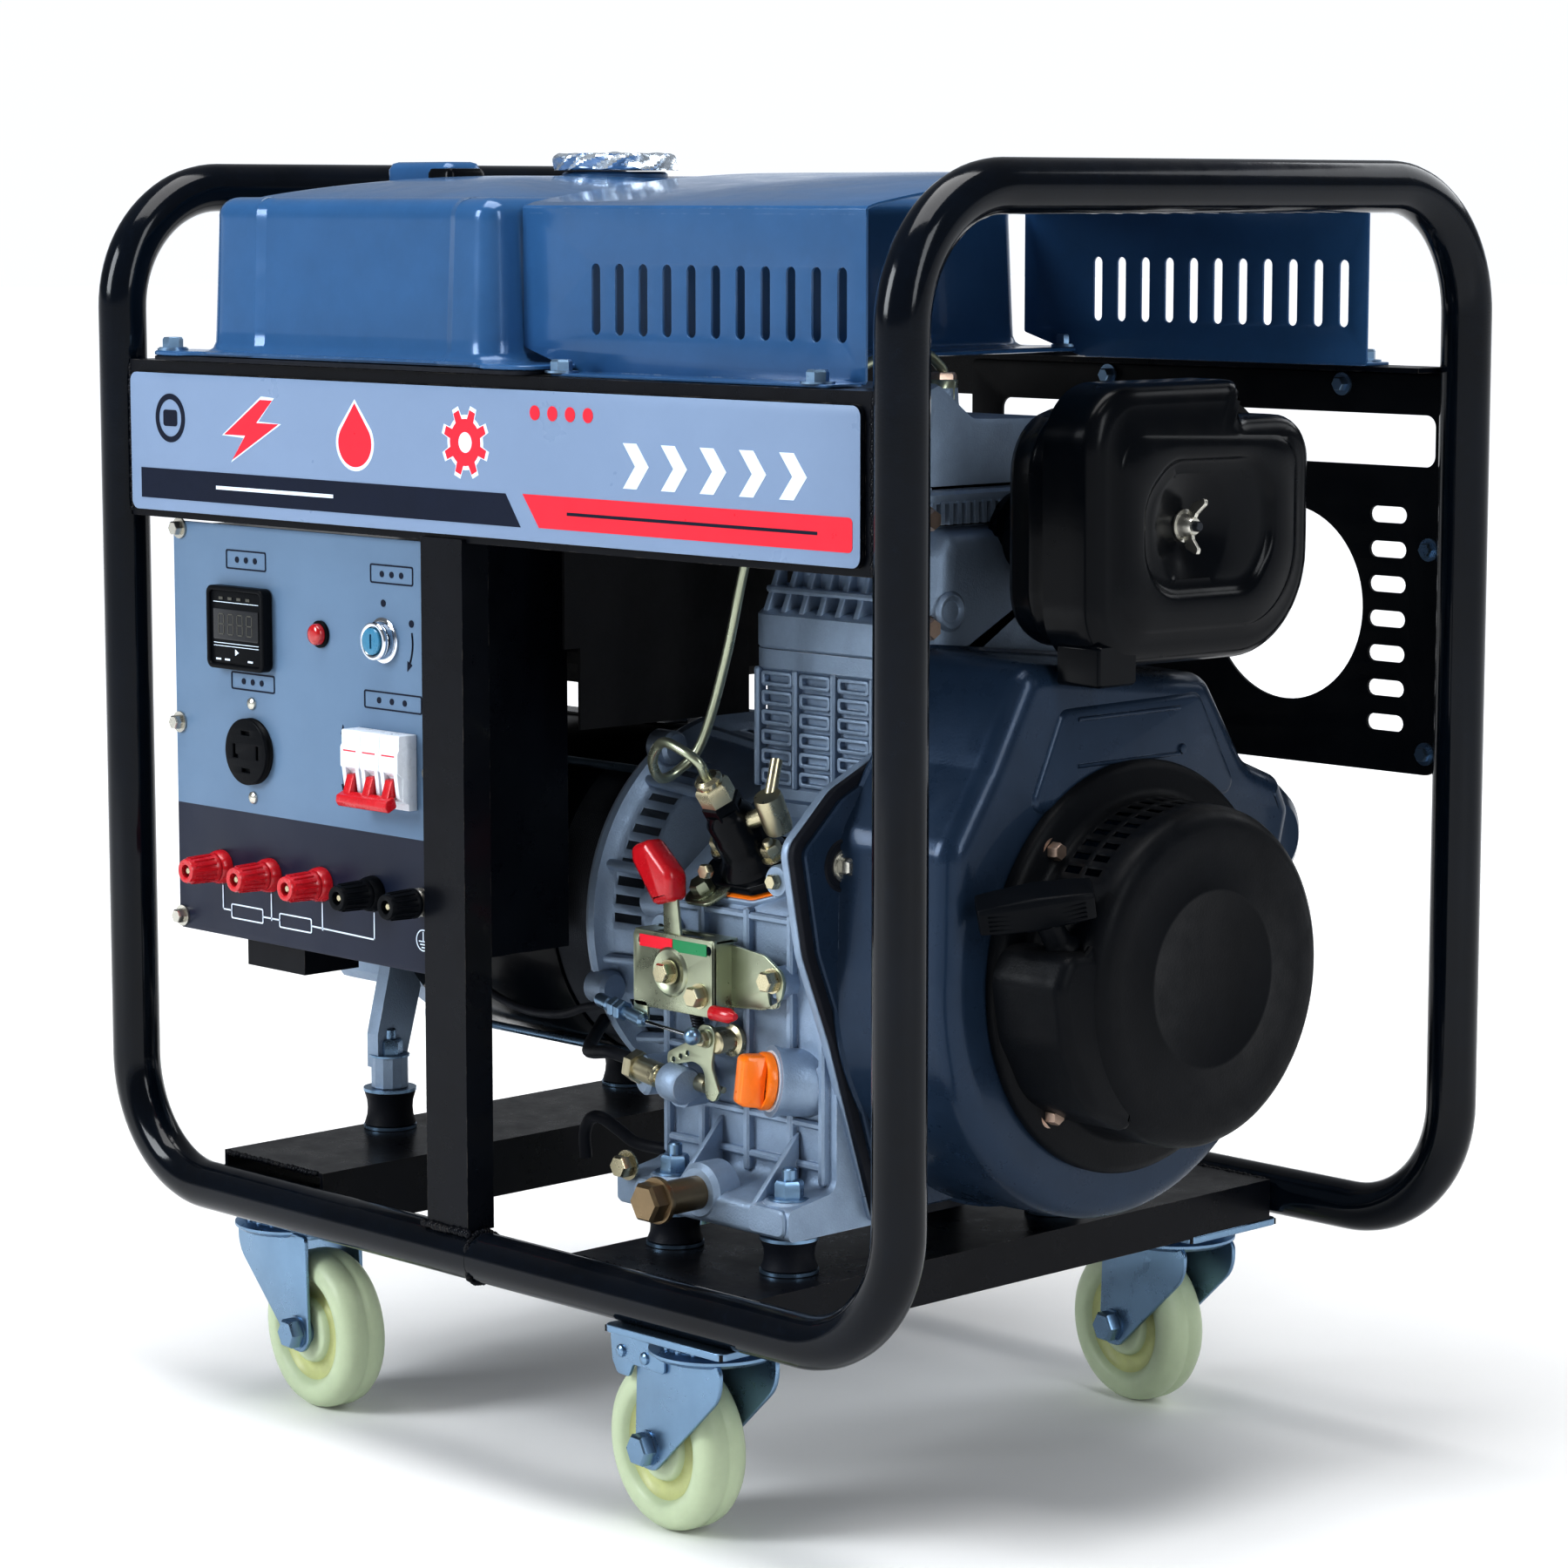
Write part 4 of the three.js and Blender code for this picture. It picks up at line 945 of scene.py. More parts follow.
def panel_plate():
    plate = Build("control_panel_plate")
    low, high = box_of("control_panel")
    plate.plate("y", [rect(low.x, high.x, low.z, high.z, 3)], PANEL_Y, PANEL_Y + 1.7, edge=0.3)
    plate.done("panel", replaces="control_panel", angle=30)
    dark = Build("panel_dark_print")
    for u0, u1, v0, v1 in ((-239, -199, 531, 543), (-98, -58, 531, 542.5), (-235.5, -192, 457, 468),
                           (-105, -51, 456, 467)):
        frame_lines(dark, u0, u1, v0, v1)
    for i in range(3):
        for u, v in ((-228 + 9 * i, 537), (-87 + 9 * i, 536.7), (-223 + 9 * i, 462.5), (-91 + 12 * i, 461.5)):
            dark.plate("y", [ring(u, v, 1.9, 12)], *PRINT_Y)
    arc = [(-86 + 27 * math.cos(a), 497.5 + 27 * math.sin(a)) for a in
           (math.radians(12 - 4.2 * i) for i in range(10))]
    stroke(dark, arc, 1.1)
    dark.plate("y", [[(-64.1, 480.6), (-63.9, 486.8), (-59.5, 484.6)]], *PRINT_Y)
    for low, high, tip in ((427, 441, 441), (405, 420, 405)):
        stroke(dark, [(-125.7, low), (-125.7, high)], 0.9)
        way = 1 if tip == high else -1
        dark.plate("y", [[(-125.7, tip + 3 * way), (-127.7, tip - 3 * way), (-123.7, tip - 3 * way)]],
                   *PRINT_Y)
    for u, v in ((-86, 519.5), (-60, 509)):
        dark.plate("y", [ring(u, v, 2.2, 14)], *PRINT_Y)
    dark.done("navy")
    pale = Build("panel_pale_print")
    posts = [TERMINALS[name].x for name in ("red_1", "red_2", "red_3", "black")]
    for x, low in zip(posts, (318.5, 317, 317, 317)):
        stroke(pale, [(x, 333), (x, low)])
    for a, b in (((posts[0], 318.5), (-239, 318.5)), ((-207, 318), (-190.5, 318)),
                 ((-158.5, 318), (posts[3], 317))):
        stroke(pale, [a, b])
    frame_lines(pale, -239.3, -206.8, 313.5, 323)
    frame_lines(pale, -190.8, -158.5, 313.3, 322.6)
    earth = -52
    pale.plate("y", [ring(earth, 322, 6.6, 32), ring(earth, 322, 5.8, 32)], *PRINT_Y)
    stroke(pale, [(earth, 326.8), (earth, 321.5)], 0.8)
    for half, v in ((3.6, 321.3), (2.4, 319.5), (1.2, 317.7)):
        stroke(pale, [(earth - half, v), (earth + half, v)], 0.8)
    pale.done("white_print")


def panel_screws():
    screws = Build("panel_screws")
    for x, z in ((-286, 553.5), (-289, 432), (-289.5, 309.5)):
        screws.bolt((x, PANEL_Y - 0.1, z), FRONT, 8.0, 5.2, washer=6.6)
    for x, z in ((-215, 449.3), (-215, 391.3), (-47.2, 421.8)):
        screws.lathe([(0, 0), (3.9, 0), (3.6, 1.2), (2.2, 2.1), (0, 2.3)], (x, PANEL_Y - 0.1, z), FRONT, 20)
    screws.done("bolt", angle=30)


def meter():
    case = Build("digital_meter_fine")
    front = PANEL_Y - 8
    raised = (front + 1.25, front + 1.65)
    case.plate("y", [rect(-250, -193, 470, 521, 5), rect(-247, -196, 473, 518, 3)], front, PANEL_Y - 0.4,
               edge=0.9)
    case.plate("y", [rect(-247.5, -195.5, 472.5, 518.5, 3)], front + 1.6, PANEL_Y - 1.2, edge=0.4)
    case.done("plastic", angle=35)
    glass = Build("meter_screen")
    glass.plate("y", [rect(-244, -199, 488, 507, 1)], front + 1.1, front + 1.6, edge=0.1)
    glass.done("screen")
    marks = Build("meter_marks")
    for i in range(4):
        marks.plate("y", [rect(-238.5 + 9 * i, -234.5 + 9 * i, 512.5, 514.3)], *raised)
        digit_x = -239 + 9.4 * i
        for u0, u1, v0, v1 in ((0.8, 5.2, 491, 491.7), (0.8, 5.2, 497.2, 497.9), (0.8, 5.2, 503.4, 504.1),
                               (0, 0.7, 491.8, 497), (0, 0.7, 498, 503.3), (5.3, 6, 491.8, 497),
                               (5.3, 6, 498, 503.3)):
            marks.plate("y", [rect(digit_x + u0, digit_x + u1, v0, v1)], front + 0.95, front + 1.15)
    marks.done("digits")
    lines = Build("meter_lines")
    for v in (510.8, 485.6, 483.8):
        lines.plate("y", [rect(-244, -199, v, v + 0.45)], front + 1.3, front + 1.65)
    lines.plate("y", [[(-222.5, 478.6), (-222.5, 482.6), (-219, 480.6)]], *raised)
    for u in (-242, -233, -210):
        lines.plate("y", [rect(u, u + 5, 475.2, 476.4)], *raised)
    lines.done("white_print")


def lamp_and_key():
    u, v = -146, 497
    collar = Build("lamp_collar")
    collar.lathe([(0, 0), (8.2, 0), (8.2, 1.6), (7.4, 2.2), (0, 2.2)], (u, PANEL_Y - 0.1, v), FRONT, 36)
    collar.done("plastic")
    lens = Build("indicator_lamp_fine")
    lens.lathe([(0, 1.4), (6.6, 1.4), (6.6, 3.4), (6.3, 5.2), (5.4, 6.3), (3.4, 6.9), (0, 7)],
               (u, PANEL_Y, v), FRONT, 36)
    lens.done("lamp", angle=60)
    at = (-86, PANEL_Y, 497.5)
    collar = Build("key_switch_fine")
    collar.lathe([(0, 0.1), (13.6, 0.1), (13.6, 1.0), (12.8, 1.6), (11.4, 1.7), (11.2, 2.2), (11.2, 5.6),
                  (10.9, 6), (11.4, 6.4), (11.6, 8), (11.0, 8.9), (9.8, 9.2), (8.7, 8.7), (8.5, 7.8),
                  (8.5, 3.0), (0, 3.0)], at, FRONT, 56)
    collar.done("chrome", slot="chrome", angle=40)
    rotor = Build("key_rotor_fine")
    rotor.plate("y", [ring(at[0], at[2], 8.0, 40), rect(at[0] - 0.8, at[0] + 0.8, at[2] - 4.2, at[2] + 4.2)],
                PANEL_Y - 10.4, PANEL_Y - 7.4, edge=0.4)
    rotor.plate("y", [ring(at[0], at[2], 8.0, 40)], PANEL_Y - 7.4, PANEL_Y - 3.4, edge=0.1)
    rotor.done("blue_plastic", body="key", angle=35)


def outlet():
    """Four curved-pin slots round the middle; the one on the left has a hook."""
    face = Build("outlet_socket_fine")
    u, v, r = -215, 420, 20.5
    outer, inner, hook = 12.7, 10.3, 7.5
    holes = []
    for turn in (90, 180, 270, 360):
        c, s = math.cos(math.radians(turn)), math.sin(math.radians(turn))
        points = [(outer, -4.2), (outer, 4.2), (inner, 4.2), (inner, -4.2)]
        if turn == 180:
            points[2:3] = [(hook, 4.2), (hook, 2.0), (inner, 2.0)]
        holes.append([(u + p * c - q * s, v + p * s + q * c) for p, q in points])
    face.plate("y", [ring(u, v, r, 64), *holes], PANEL_Y - 6, PANEL_Y - 2.5, edge=0.7)
    face.lathe(drum(r, 0.3, 3.2), (u, PANEL_Y, v), FRONT, 64)
    face.done("plastic", angle=35)


def breaker():
    low, high = box_of("breaker_body")
    body = Build("breaker_body_fine")
    pole = (high.x - low.x) / 3
    side = rounded([(0, low.z), (-6.5, low.z), (-6.5, low.z + 4), (-10.6, low.z + 6), (-10.6, low.z + 20),
                    (-14.8, low.z + 23), (-14.8, high.z - 10), (-13.6, high.z - 8.5), (-13.6, high.z),
                    (0, high.z)], [0.5, 1, 1, 1, 1, 1.5, 2.5, 0.8, 1.2, 0.5])
    for i in range(3):
        x0 = low.x + i * pole
        body.plate("x", [[(PANEL_Y - 0.3 + u, v) for u, v in side]], x0 + 0.15, x0 + pole - 0.15, edge=0.35)
        for x in (x0 + 1.0, x0 + pole - 4.6):
            cheek = rounded([(PANEL_Y - 8, low.z + 4), (PANEL_Y - 13, low.z + 8),
                             (PANEL_Y - 15, low.z + 24), (PANEL_Y - 8, low.z + 24)], [0.5, 3, 0.5, 0.5])
            body.plate("x", [cheek], x, x + 3.6, edge=0.6)
    body.done("white", angle=35)
    front = low.y - 0.12
    marks = Build("breaker_marks")
    for i in range(3):
        x = low.x + (i + 0.5) * pole
        marks.plate("y", [rect(x - 6, x + 6, high.z - 12.6, high.z - 11.8)], front - 0.1, front + 0.2)
    marks.done("sign_red")
    toggle = Build("breaker_toggle_fine")
    bar = rounded([(-14, low.z + 2.6), (-20.8, low.z - 0.6), (-23, low.z + 2.8), (-22.4, low.z + 6.6),
                   (-16, low.z + 9.4)], 1.5)
    toggle.plate("x", [[(PANEL_Y + 1.2 + u, v) for u, v in bar]], low.x + 3.4, high.x - 3.4, edge=0.7)
    for i in range(3):
        x = low.x + (i + 0.5) * pole
        arm = rounded([(-10, low.z + 9), (-19, low.z + 5), (-17.4, low.z + 10), (-14.5, low.z + 18.5),
                       (-10, low.z + 19.5)], 1.2)
        toggle.plate("x", [[(PANEL_Y + u, v) for u, v in arm]], x - 3.4, x + 3.4, edge=0.6)
    toggle.done("red", body="breaker", angle=35)


def binding_posts():
    for name, at in TERMINALS.items():
        material = "red" if name.startswith("red") else "plastic"
        foot = (at.x, PANEL_Y, at.z)
        base = Build("terminal_base_" + name)
        if name == "earth":
            for low, sides in ((0.1, 28), (2.3, 6), (4.5, 28)):
                high = low + 2.1
                rows = [(0, low), (8.4, low), (8.8, low + 1), (8.4, high), (0, high)]
                base.lathe(rows, foot, FRONT, sides)
            base.done("bolt", angle=35)
        else:
            base.lathe([(0, 0.1), (10.6, 0.1), (10.8, 1.2), (10.2, 5.4), (9.2, 7), (0, 7)], foot, FRONT, 40)
            base.done(material, angle=40)
        knob = Build("terminal_knob_" + name + "_fine")
        rows = [(0, 7.4), (5.0, 7.4), (9.0, 7.4), (9.0, 9.2), (8.4, 10), (8.0, 18), (7.7, 27.6), (7.2, 28.8),
                (5.2, 29), (4.1, 28.6), (4.0, 23), (0, 23)]
        knob.lathe(rows, foot, FRONT, 48)
        for i in range(14):
            turn = 2 * math.pi * i / 14
            c, s = math.cos(turn), math.sin(turn)
            knob.tube([(at.x + 8.2 * c, PANEL_Y - 10.6, at.z + 8.2 * s),
                       (at.x + 7.75 * c, PANEL_Y - 26, at.z + 7.75 * s)], 0.75, 2)
        knob.done(material, body="knob_" + name, angle=40)
        pin = Build("terminal_pin_" + name)
        pin.lathe([(0, 20), (2.3, 20), (2.3, 26.4), (1.7, 27), (0, 27)], foot, FRONT, 18)
        pin.done("yellow_zinc", angle=35)


panel_plate()
panel_screws()
meter()
lamp_and_key()
outlet()
breaker()
binding_posts()

# ---------------------------------------------------------------- tank, cover, guard

SEAT_Z = box_of("fuel_tank")[0].z  # sheet flanges lie on their rubber strip here
CAP = Vector((-120, -22, 0))
FILM_REACH, FILM_TOP, FILM_FOOT = 47.5, 785.4, 773.5
COVER_Y = 211.0
COVER_EDGE, COVER_CROWN = 752.0, 770.6


def fuel_tank():
    x0, x1, y0, y1, top = -262, 12, -236, 209, 757
    step, run = 2.4, 7
    corners = [(x0, y0), (-208, y0), (-208 + run, y0 + step), (-22 - run, y0 + step), (-22, y0), (x1, y0),
               (x1, y1), (-22, y1), (-22 - run, y1 - step), (-208 + run, y1 - step), (-208, y1), (x0, y1),
               (x0, 160), (x0 + step, 160 - run), (x0 + step, -190 + run), (x0, -190)]
    radii = [32, 4, 4, 4, 4, 26, 26, 4, 4, 4, 4, 32, 4, 4, 4, 4]
    outline = rounded(corners, radii, 9)
    skirt = [(-9, SEAT_Z + 1.5), (-9, SEAT_Z + 3), (-5, SEAT_Z + 3.4), (-2, SEAT_Z + 5.2),
             (-0.4, SEAT_Z + 9), (0, SEAT_Z + 16)]
    wall = [(3.0, top - 14)]
    rim = [(3 + 13 * (1 - math.cos(a)), top - 11 + 11 * math.sin(a)) for a in
           (math.radians(15 * i) for i in range(7))]
    tank = Build("fuel_tank_fine")
    tank.stack("z", outline, skirt + wall + rim)
    dome = []
    for i in range(13):
        t = i / 12
        d = 12 + 118 * t
        z = top - 2 + 15 * math.sin(math.radians(90 * t)) ** 0.8
        dome.append([(u, v, z) for u, v in rect(x0 + d, x1 - d * 0.98, y0 + d, y1 - d, 28 - 12 * t, 8)])
    tank.loft(dome)
    tank.lathe([(0, 762), (33, 762), (33, 771), (31, 772.6), (0, 772.6)], CAP, UP, 48)
    tank.done("blue", angle=40)
    flange = Build("fuel_tank_flange")
    edge = rounded([(-302, -250), (-268, -250), (-256, -243), (8, -243), (20, -250), (57, -250), (57, 222),
                    (20, 222), (8, 216), (-256, 216), (-268, 222), (-302, 222), (-302, 190), (-276, 178),
                    (-276, -206), (-302, -218)], [16, 12, 12, 12, 12, 14, 14, 12, 12, 12, 12, 16, 12, 12,
                                                  12, 12])
    flange.stack("z", edge, [(1.2, SEAT_Z), (0, SEAT_Z + 0.6), (0, SEAT_Z + 2.2), (1.0, SEAT_Z + 3.0),
                             (3.5, SEAT_Z + 3.0)])
    flange.done("blue", angle=40)
    strips = Build("tank_rubber_strips")
    for low, high in ((-249, -216), (196, 220)):
        strips.plate("z", [rect(-298, 54, low, high, 8)], SEAT_Z - 2.7, SEAT_Z - 0.2, edge=0.6)
    strips.done("rubber")
    bolts = Build("tank_bolts")
    for x, y in ((-290, -237), (-290, 207), (46, 212)):
        bolts.bolt((x, y, SEAT_Z + 3), UP, 11, 7, washer=9.5)
        bolts.lathe(drum(8.6, 0, 1.8), (x, y, SEAT_Z + 3), UP, 24)
    bolts.done("zinc", angle=30)


def fuel_gauge():
    body = Build("fuel_gauge")
    body.stack("z", rect(-232, -170, -116, -84, 9), [(-3, 764), (0, 767), (0, 774), (2.5, 777.6), (6, 778.6)])
    body.done("blue", angle=40)
    window = Build("fuel_gauge_window")
    window.stack("z", rect(-186, -162, -120, -90, 5), [(0, 764), (0, 771.5), (1.6, 774.2), (3, 774.6)])
    window.done("enamel", slot="black_plastic", angle=40)


def fuel_cap():
    """A cap still wrapped in its crumpled silver film."""
    cap = Build("fuel_cap_fine")
    cap.lathe([(0, 773.6), (34, 773.6), (35, 775), (35, 781), (33, 783.6), (0, 783.8)], CAP, UP, 48)
    cap.done("chrome", body="tank_cap", angle=40)
    film = Build("fuel_cap_film")
    spokes, rows = 90, 34
    crease = [(random.uniform(0, math.pi), random.uniform(3, 9), random.uniform(0, 6.28)) for _ in range(14)]
    grid = []
    for j in range(rows + 1):
        reach = FILM_REACH * j / rows
        line = []
        for i in range(spokes):
            a = 2 * math.pi * i / spokes
            ragged = 1 + 0.05 * math.sin(3 * a + 1) + 0.04 * math.sin(7 * a + 2)
            flat = min(reach, 34.5)
            over = max(0.0, reach * ragged - 36.5)
            r = flat + 2.2 * math.sin(min(1.0, over / 4) * math.pi / 2) + 0.07 * over
            x, y = r * math.cos(a), r * math.sin(a)
            fold = sum(abs(math.sin((x * math.cos(t) + y * math.sin(t)) / w + p))
                       for t, w, p in crease) / len(crease)
            z = FILM_TOP - 2.6 * fold * min(1.0, reach / 6) - over * 0.92
            push = 1 + 0.05 * math.sin(11 * a + reach * 0.5) * (over > 0)
            line.append(Vector((CAP.x + x * push, CAP.y + y * push, max(z, FILM_FOOT))))
        grid.append(line)
    middle = Vector((CAP.x, CAP.y, FILM_TOP - 0.8))
    film.skin([[middle] * spokes] + grid[1:])
    for low, high in zip(grid, grid[1:]):
        for i in range(spokes):
            a, b, c, d = low[i], low[i - 1], high[i - 1], high[i]
    piece = film.done("film", body="tank_cap", angle=20)


def arch(y):
    """Height of the cover's roof over y."""
    return COVER_EDGE + (COVER_CROWN - COVER_EDGE) * (1 - (y / COVER_Y) ** 2)


def muffler_cover():
    low, high = box_of("muffler_cover")
    x0, x1 = low.x, high.x
    slots = [slot_outline(75 + i * 19.7, 700, 40, 7.2, steps=8) for i in range(11)]
    cover = Build("muffler_cover_fine")
    for side in (-1, 1):
        wall = rounded([(x0, 672), (x0 + 48, 658), (x1, 658), (x1, COVER_EDGE - 1), (x0, COVER_EDGE - 1)],
                       [2, 6, 3, 0.5, 0.5])
        cover.plate("y", [wall, *slots], *sorted((side * COVER_Y, side * (COVER_Y - 1.6))), edge=0.25)
        flange = rect(x0 + 50, x1 - 2, *sorted((side * (COVER_Y - 1.5), side * (COVER_Y + 25))), 4)
        cover.plate("z", [flange], SEAT_Z - 3, SEAT_Z - 1.2, edge=0.4)
    ys = [-COVER_Y + 2 * COVER_Y * i / 48 for i in range(49)]
    fold = [(-COVER_Y, 748), (-COVER_Y + 0.1, 750.5), (-COVER_Y + 1.4, 752.4)]
    outer = fold + [(y, arch(y) + 0.9) for y in ys[1:-1]] + [(-y, z) for y, z in reversed(fold)]
    inner = [(y, z - 1.6) for y, z in outer]
    inner[0], inner[-1] = (-COVER_Y + 1.6, 748), (COVER_Y - 1.6, 748)
    cover.plate("x", [outer + inner[::-1]], x0, x1, edge=0.25)
    cover.done("blue", angle=28)
    bolts = Build("cover_bolts")
    for x in (67, 273):
        for y in (-230, 230):
            bolts.bolt((x, y, SEAT_Z - 1.2), UP, 11, 6.5, washer=9.5)
    bolts.done("zinc", angle=30)


def rear_guard():
    sheet = Build("rear_guard_fine")
    outline = rounded([(-60, 412), (327, 412), (327, 652), (-60, 652)], [4, 10, 4, 4])
    slots = [slot_outline(286.5, 441.5 + 21 * i, 28, 10, 90, 8) for i in range(7)]
    sheet.plate("y", [outline, rect(-33, 321, 597, 628, 7), ring(208, 510, 60, 72), *slots], 237.3, 239.7,
                edge=0.35)
    sheet.done("satin", slot="frame_black", angle=30)
    screws = Build("guard_screws")
    for x, z in ((318, 548), (318, 425), (-52, 560), (-52, 430), (60, 645), (250, 645)):
        screws.bolt((x, 237.2, z), FRONT, 8, 5, washer=7)
        screws.bolt((x, 239.8, z), BACK, 8, 5, washer=7)
    screws.done("zinc", angle=30)


fuel_tank()
fuel_gauge()
fuel_cap()
muffler_cover()
rear_guard()

# ---------------------------------------------------------------- shroud, recoil starter, air cleaner

shroud_low, shroud_high = box_of("flywheel_shroud")
CASE_FLANGE = [(-115, 174), (80, 174), (125, 225), (148, 321), (125, 415), (90, 440), (-95, 452),
               (-150, 428), (-183, 398), (-171, 335), (-150, 283)]
CASE_CORNERS = [8, 20, 40, 60, 20, 20, 30, 30, 14, 40, 40]
FACE_X = shroud_high.x
ROPE_AXIS = Vector((0, -0.57, 0.822)).normalized()
ROPE = Vector((330, -97, 346))  # where the rope leaves its guide
GRIP_AT = Vector((326.5, -115, 371.5))
GRIP_TURNS = (("Z", 46), ("Y", -9), ("X", 22))  # degrees


def flywheel_shroud():
    turn = [math.radians(174 + 3 * i) for i in range(69)]
    arc = [(150 * math.cos(a), CRANK_Z + 150 * math.sin(a)) for a in turn]
    corners = [(151, 398), (139, 420), (108, 432), (72, 486), (-84, 503), (-118, 445), (-148, 402)]
    outline = rounded(arc + corners, [0] * len(arc) + [16, 12, 20, 22, 20, 26, 30], 8)
    hood = Build("flywheel_shroud_fine")
    fillet = [(2 + 14 * (1 - math.cos(a)), FACE_X - 14 + 14 * math.sin(a)) for a in
              (math.radians(11.25 * i) for i in range(9))]
    hood.stack("x", outline, [(-3, shroud_low.x + 5.2), (-3, shroud_low.x + 6.6), (-1.2, shroud_low.x + 8),
                              (-0.2, shroud_low.x + 12)] + fillet)
    panel = rounded([(-58, 472), (-84, 418), (92, 414), (58, 473)], [8, 6, 6, 8])
    hood.stack("x", panel, [(-2.5, FACE_X - 1), (-1.4, FACE_X), (0, FACE_X + 1.5), (2.2, FACE_X + 2.1)])
    for z in (467, 440.5):
        hood.tube([(FACE_X + 2.0, -46, z), (FACE_X + 2.0, 40, z)], 1.3, 3)
    bulge = [(-0.5, -34), (0, -20), (0, 16), (5, 24), (13, 30)]
    hood.stack("x", ring(137, 381, 34, 48), [(max(0.0, i), FACE_X - 36 + h) for i, h in bulge])
    hood.lathe([(0, 0), (3.2, 0), (2.6, 1.6), (0, 2.2)], (FACE_X + 2, 42.3, 443), RIGHT, 20)
    lip = inset(rounded(CASE_FLANGE, CASE_CORNERS), 6)
    hood.stack("x", lip, [(0, shroud_low.x + 4.6), (0, shroud_low.x + 7), (1, shroud_low.x + 8),
                          (3, shroud_low.x + 8.2)])
    hood.done("shroud", angle=34)
    seal = Build("shroud_seal")
    band = rounded(CASE_FLANGE, CASE_CORNERS)
    seal.plate("x", [band, inset(band, 16)], shroud_low.x + 0.2, shroud_low.x + 4.6, edge=0.8)
    seal.done("rubber")
    bolts = Build("shroud_bolts")
    for y, z in ((-146, 385.6), (-134, 290), (-104, 190), (68, 190), (131, 330)):
        bolts.lathe(drum(9.5, 0, 1.6), (shroud_low.x + 8, y, z), RIGHT, 28)
        bolts.bolt((shroud_low.x + 9.4, y, z), RIGHT, 11, 7, washer=7.6)
    bolts.done("bolt", angle=30)
    cups = Build("shroud_bolt_cups")
    cups.lathe([(9.6, 0.4), (12.6, 0.4), (13.4, 1.4), (14.6, 1.4), (15.4, 0.2)],
               (shroud_low.x + 8.1, -146, 385.6), RIGHT, 32)
    cups.done("rubber")


def recoil_housing():
    shell = Build("recoil_housing_fine")
    steps, first, count = 124, 58, 21
    rows = [(88, 292.6), (117.6, 292.6), (118.4, 293.4), (118.4, 297), (117, 299.4), (113, 301),
            (104, 301.6), (100.6, 303), (98.8, 305), (98, 307.5), (97.8, 310), (97.5, 321), (97.4, 324.5),
            (97.2, 335.5), (97, 342), (96.2, 346.6), (94, 350.6), (90.2, 353.2), (85, 354.3), (76, 354.6),
            (53, 354.6), (51.4, 355.3), (49.8, 355.3), (48.2, 354.6), (0, 354.6)]
    louvres = (10, 12)
    shell.lathe(rows, CRANK_LINE, RIGHT, steps,
                skip=lambda row, i: row in louvres and first <= i < first + count and (i - first) % 2 == 0)
    shell.done("satin", angle=38, thicken=1.4)
    boss = Build("recoil_rope_guide")
    fairing = rounded([(-40, 346), (-112, 348), (-122, 330), (-116, 296), (-96, 258), (-60, 240)],
                      [4, 12, 16, 40, 40, 6])
    boss.stack("x", fairing, [(0, 300), (0, 344), (1.2, 347.6), (3.6, 350), (7, 351.2)])
    boss.lathe([(17, -34), (19.5, -4), (19.8, -1.6), (19, 0.4), (17.4, 1.2), (15.4, 0.6), (14.4, -1.4),
                (13.8, -6), (12.6, -10), (0, -10)], ROPE, ROPE_AXIS, 48)
    boss.done("satin", angle=40)
    bolts = Build("recoil_bolts")
    for i in range(4):
        a = math.radians(45 + 90 * i)
        bolts.bolt((300.6, 106 * math.cos(a), CRANK_Z + 106 * math.sin(a)), RIGHT, 9, 7, washer=7.4)
    bolts.done("copper_bolt", slot="ground_steel", angle=30)
    holes = Build("recoil_flange_holes")
    for y, z in ((-30.3, 424), (23, 424), (104, 344), (-30, 219), (30, 219), (104, 296)):
        holes.lathe(drum(2.6, 301.2, 301.9), (0, y, z), RIGHT, 20)
    holes.done("rubber", slot="black_plastic")


def recoil_handle():
    turn = Matrix.Translation(GRIP_AT)
    for axis, degrees in GRIP_TURNS:
        turn = turn @ Matrix.Rotation(math.radians(degrees), 4, axis)
    grip = Build("recoil_handle_fine", turn)
    section = rounded([(-8.5, -9.5), (8.5, -9.5), (11.5, 7), (9.5, 10.5), (-9.5, 10.5), (-11.5, 7)],
                      [2.5, 2.5, 2, 3, 3, 2])
    profile = [(4.5, -32.5), (2, -32), (1.4, -31), (0.4, -20), (-1.0, 0), (0.4, 20), (1.4, 31), (2, 32),
               (4.5, 32.5)]
    grip.stack("x", section, profile)
    for side in (-1, 1):
        for z in (-5.6, -2.4, 0.8, 4.0):
            grip.tube([(-27, side * (9.7 + z * 0.18), z), (27, side * (9.7 + z * 0.18), z)], 0.6, 2)
    grip.done("plastic", body="pull_handle", angle=35)
    stem = Build("recoil_handle_stem")
    stem.lathe([(0, 1), (11, 1), (11.6, 2.4), (11, 4), (8.6, 5.4), (7.6, 9), (7.4, 15), (7.8, 22), (0, 24)],
               ROPE, ROPE_AXIS, 36)
    stem.done("plastic", body="pull_handle", angle=45)
    rope = Build("recoil_rope")
    rope.tube([ROPE + ROPE_AXIS * (-16 + i) for i in range(20)], 2.2, 3)
    piece = rope.done("rope", body=None, angle=60)
    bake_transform(piece)


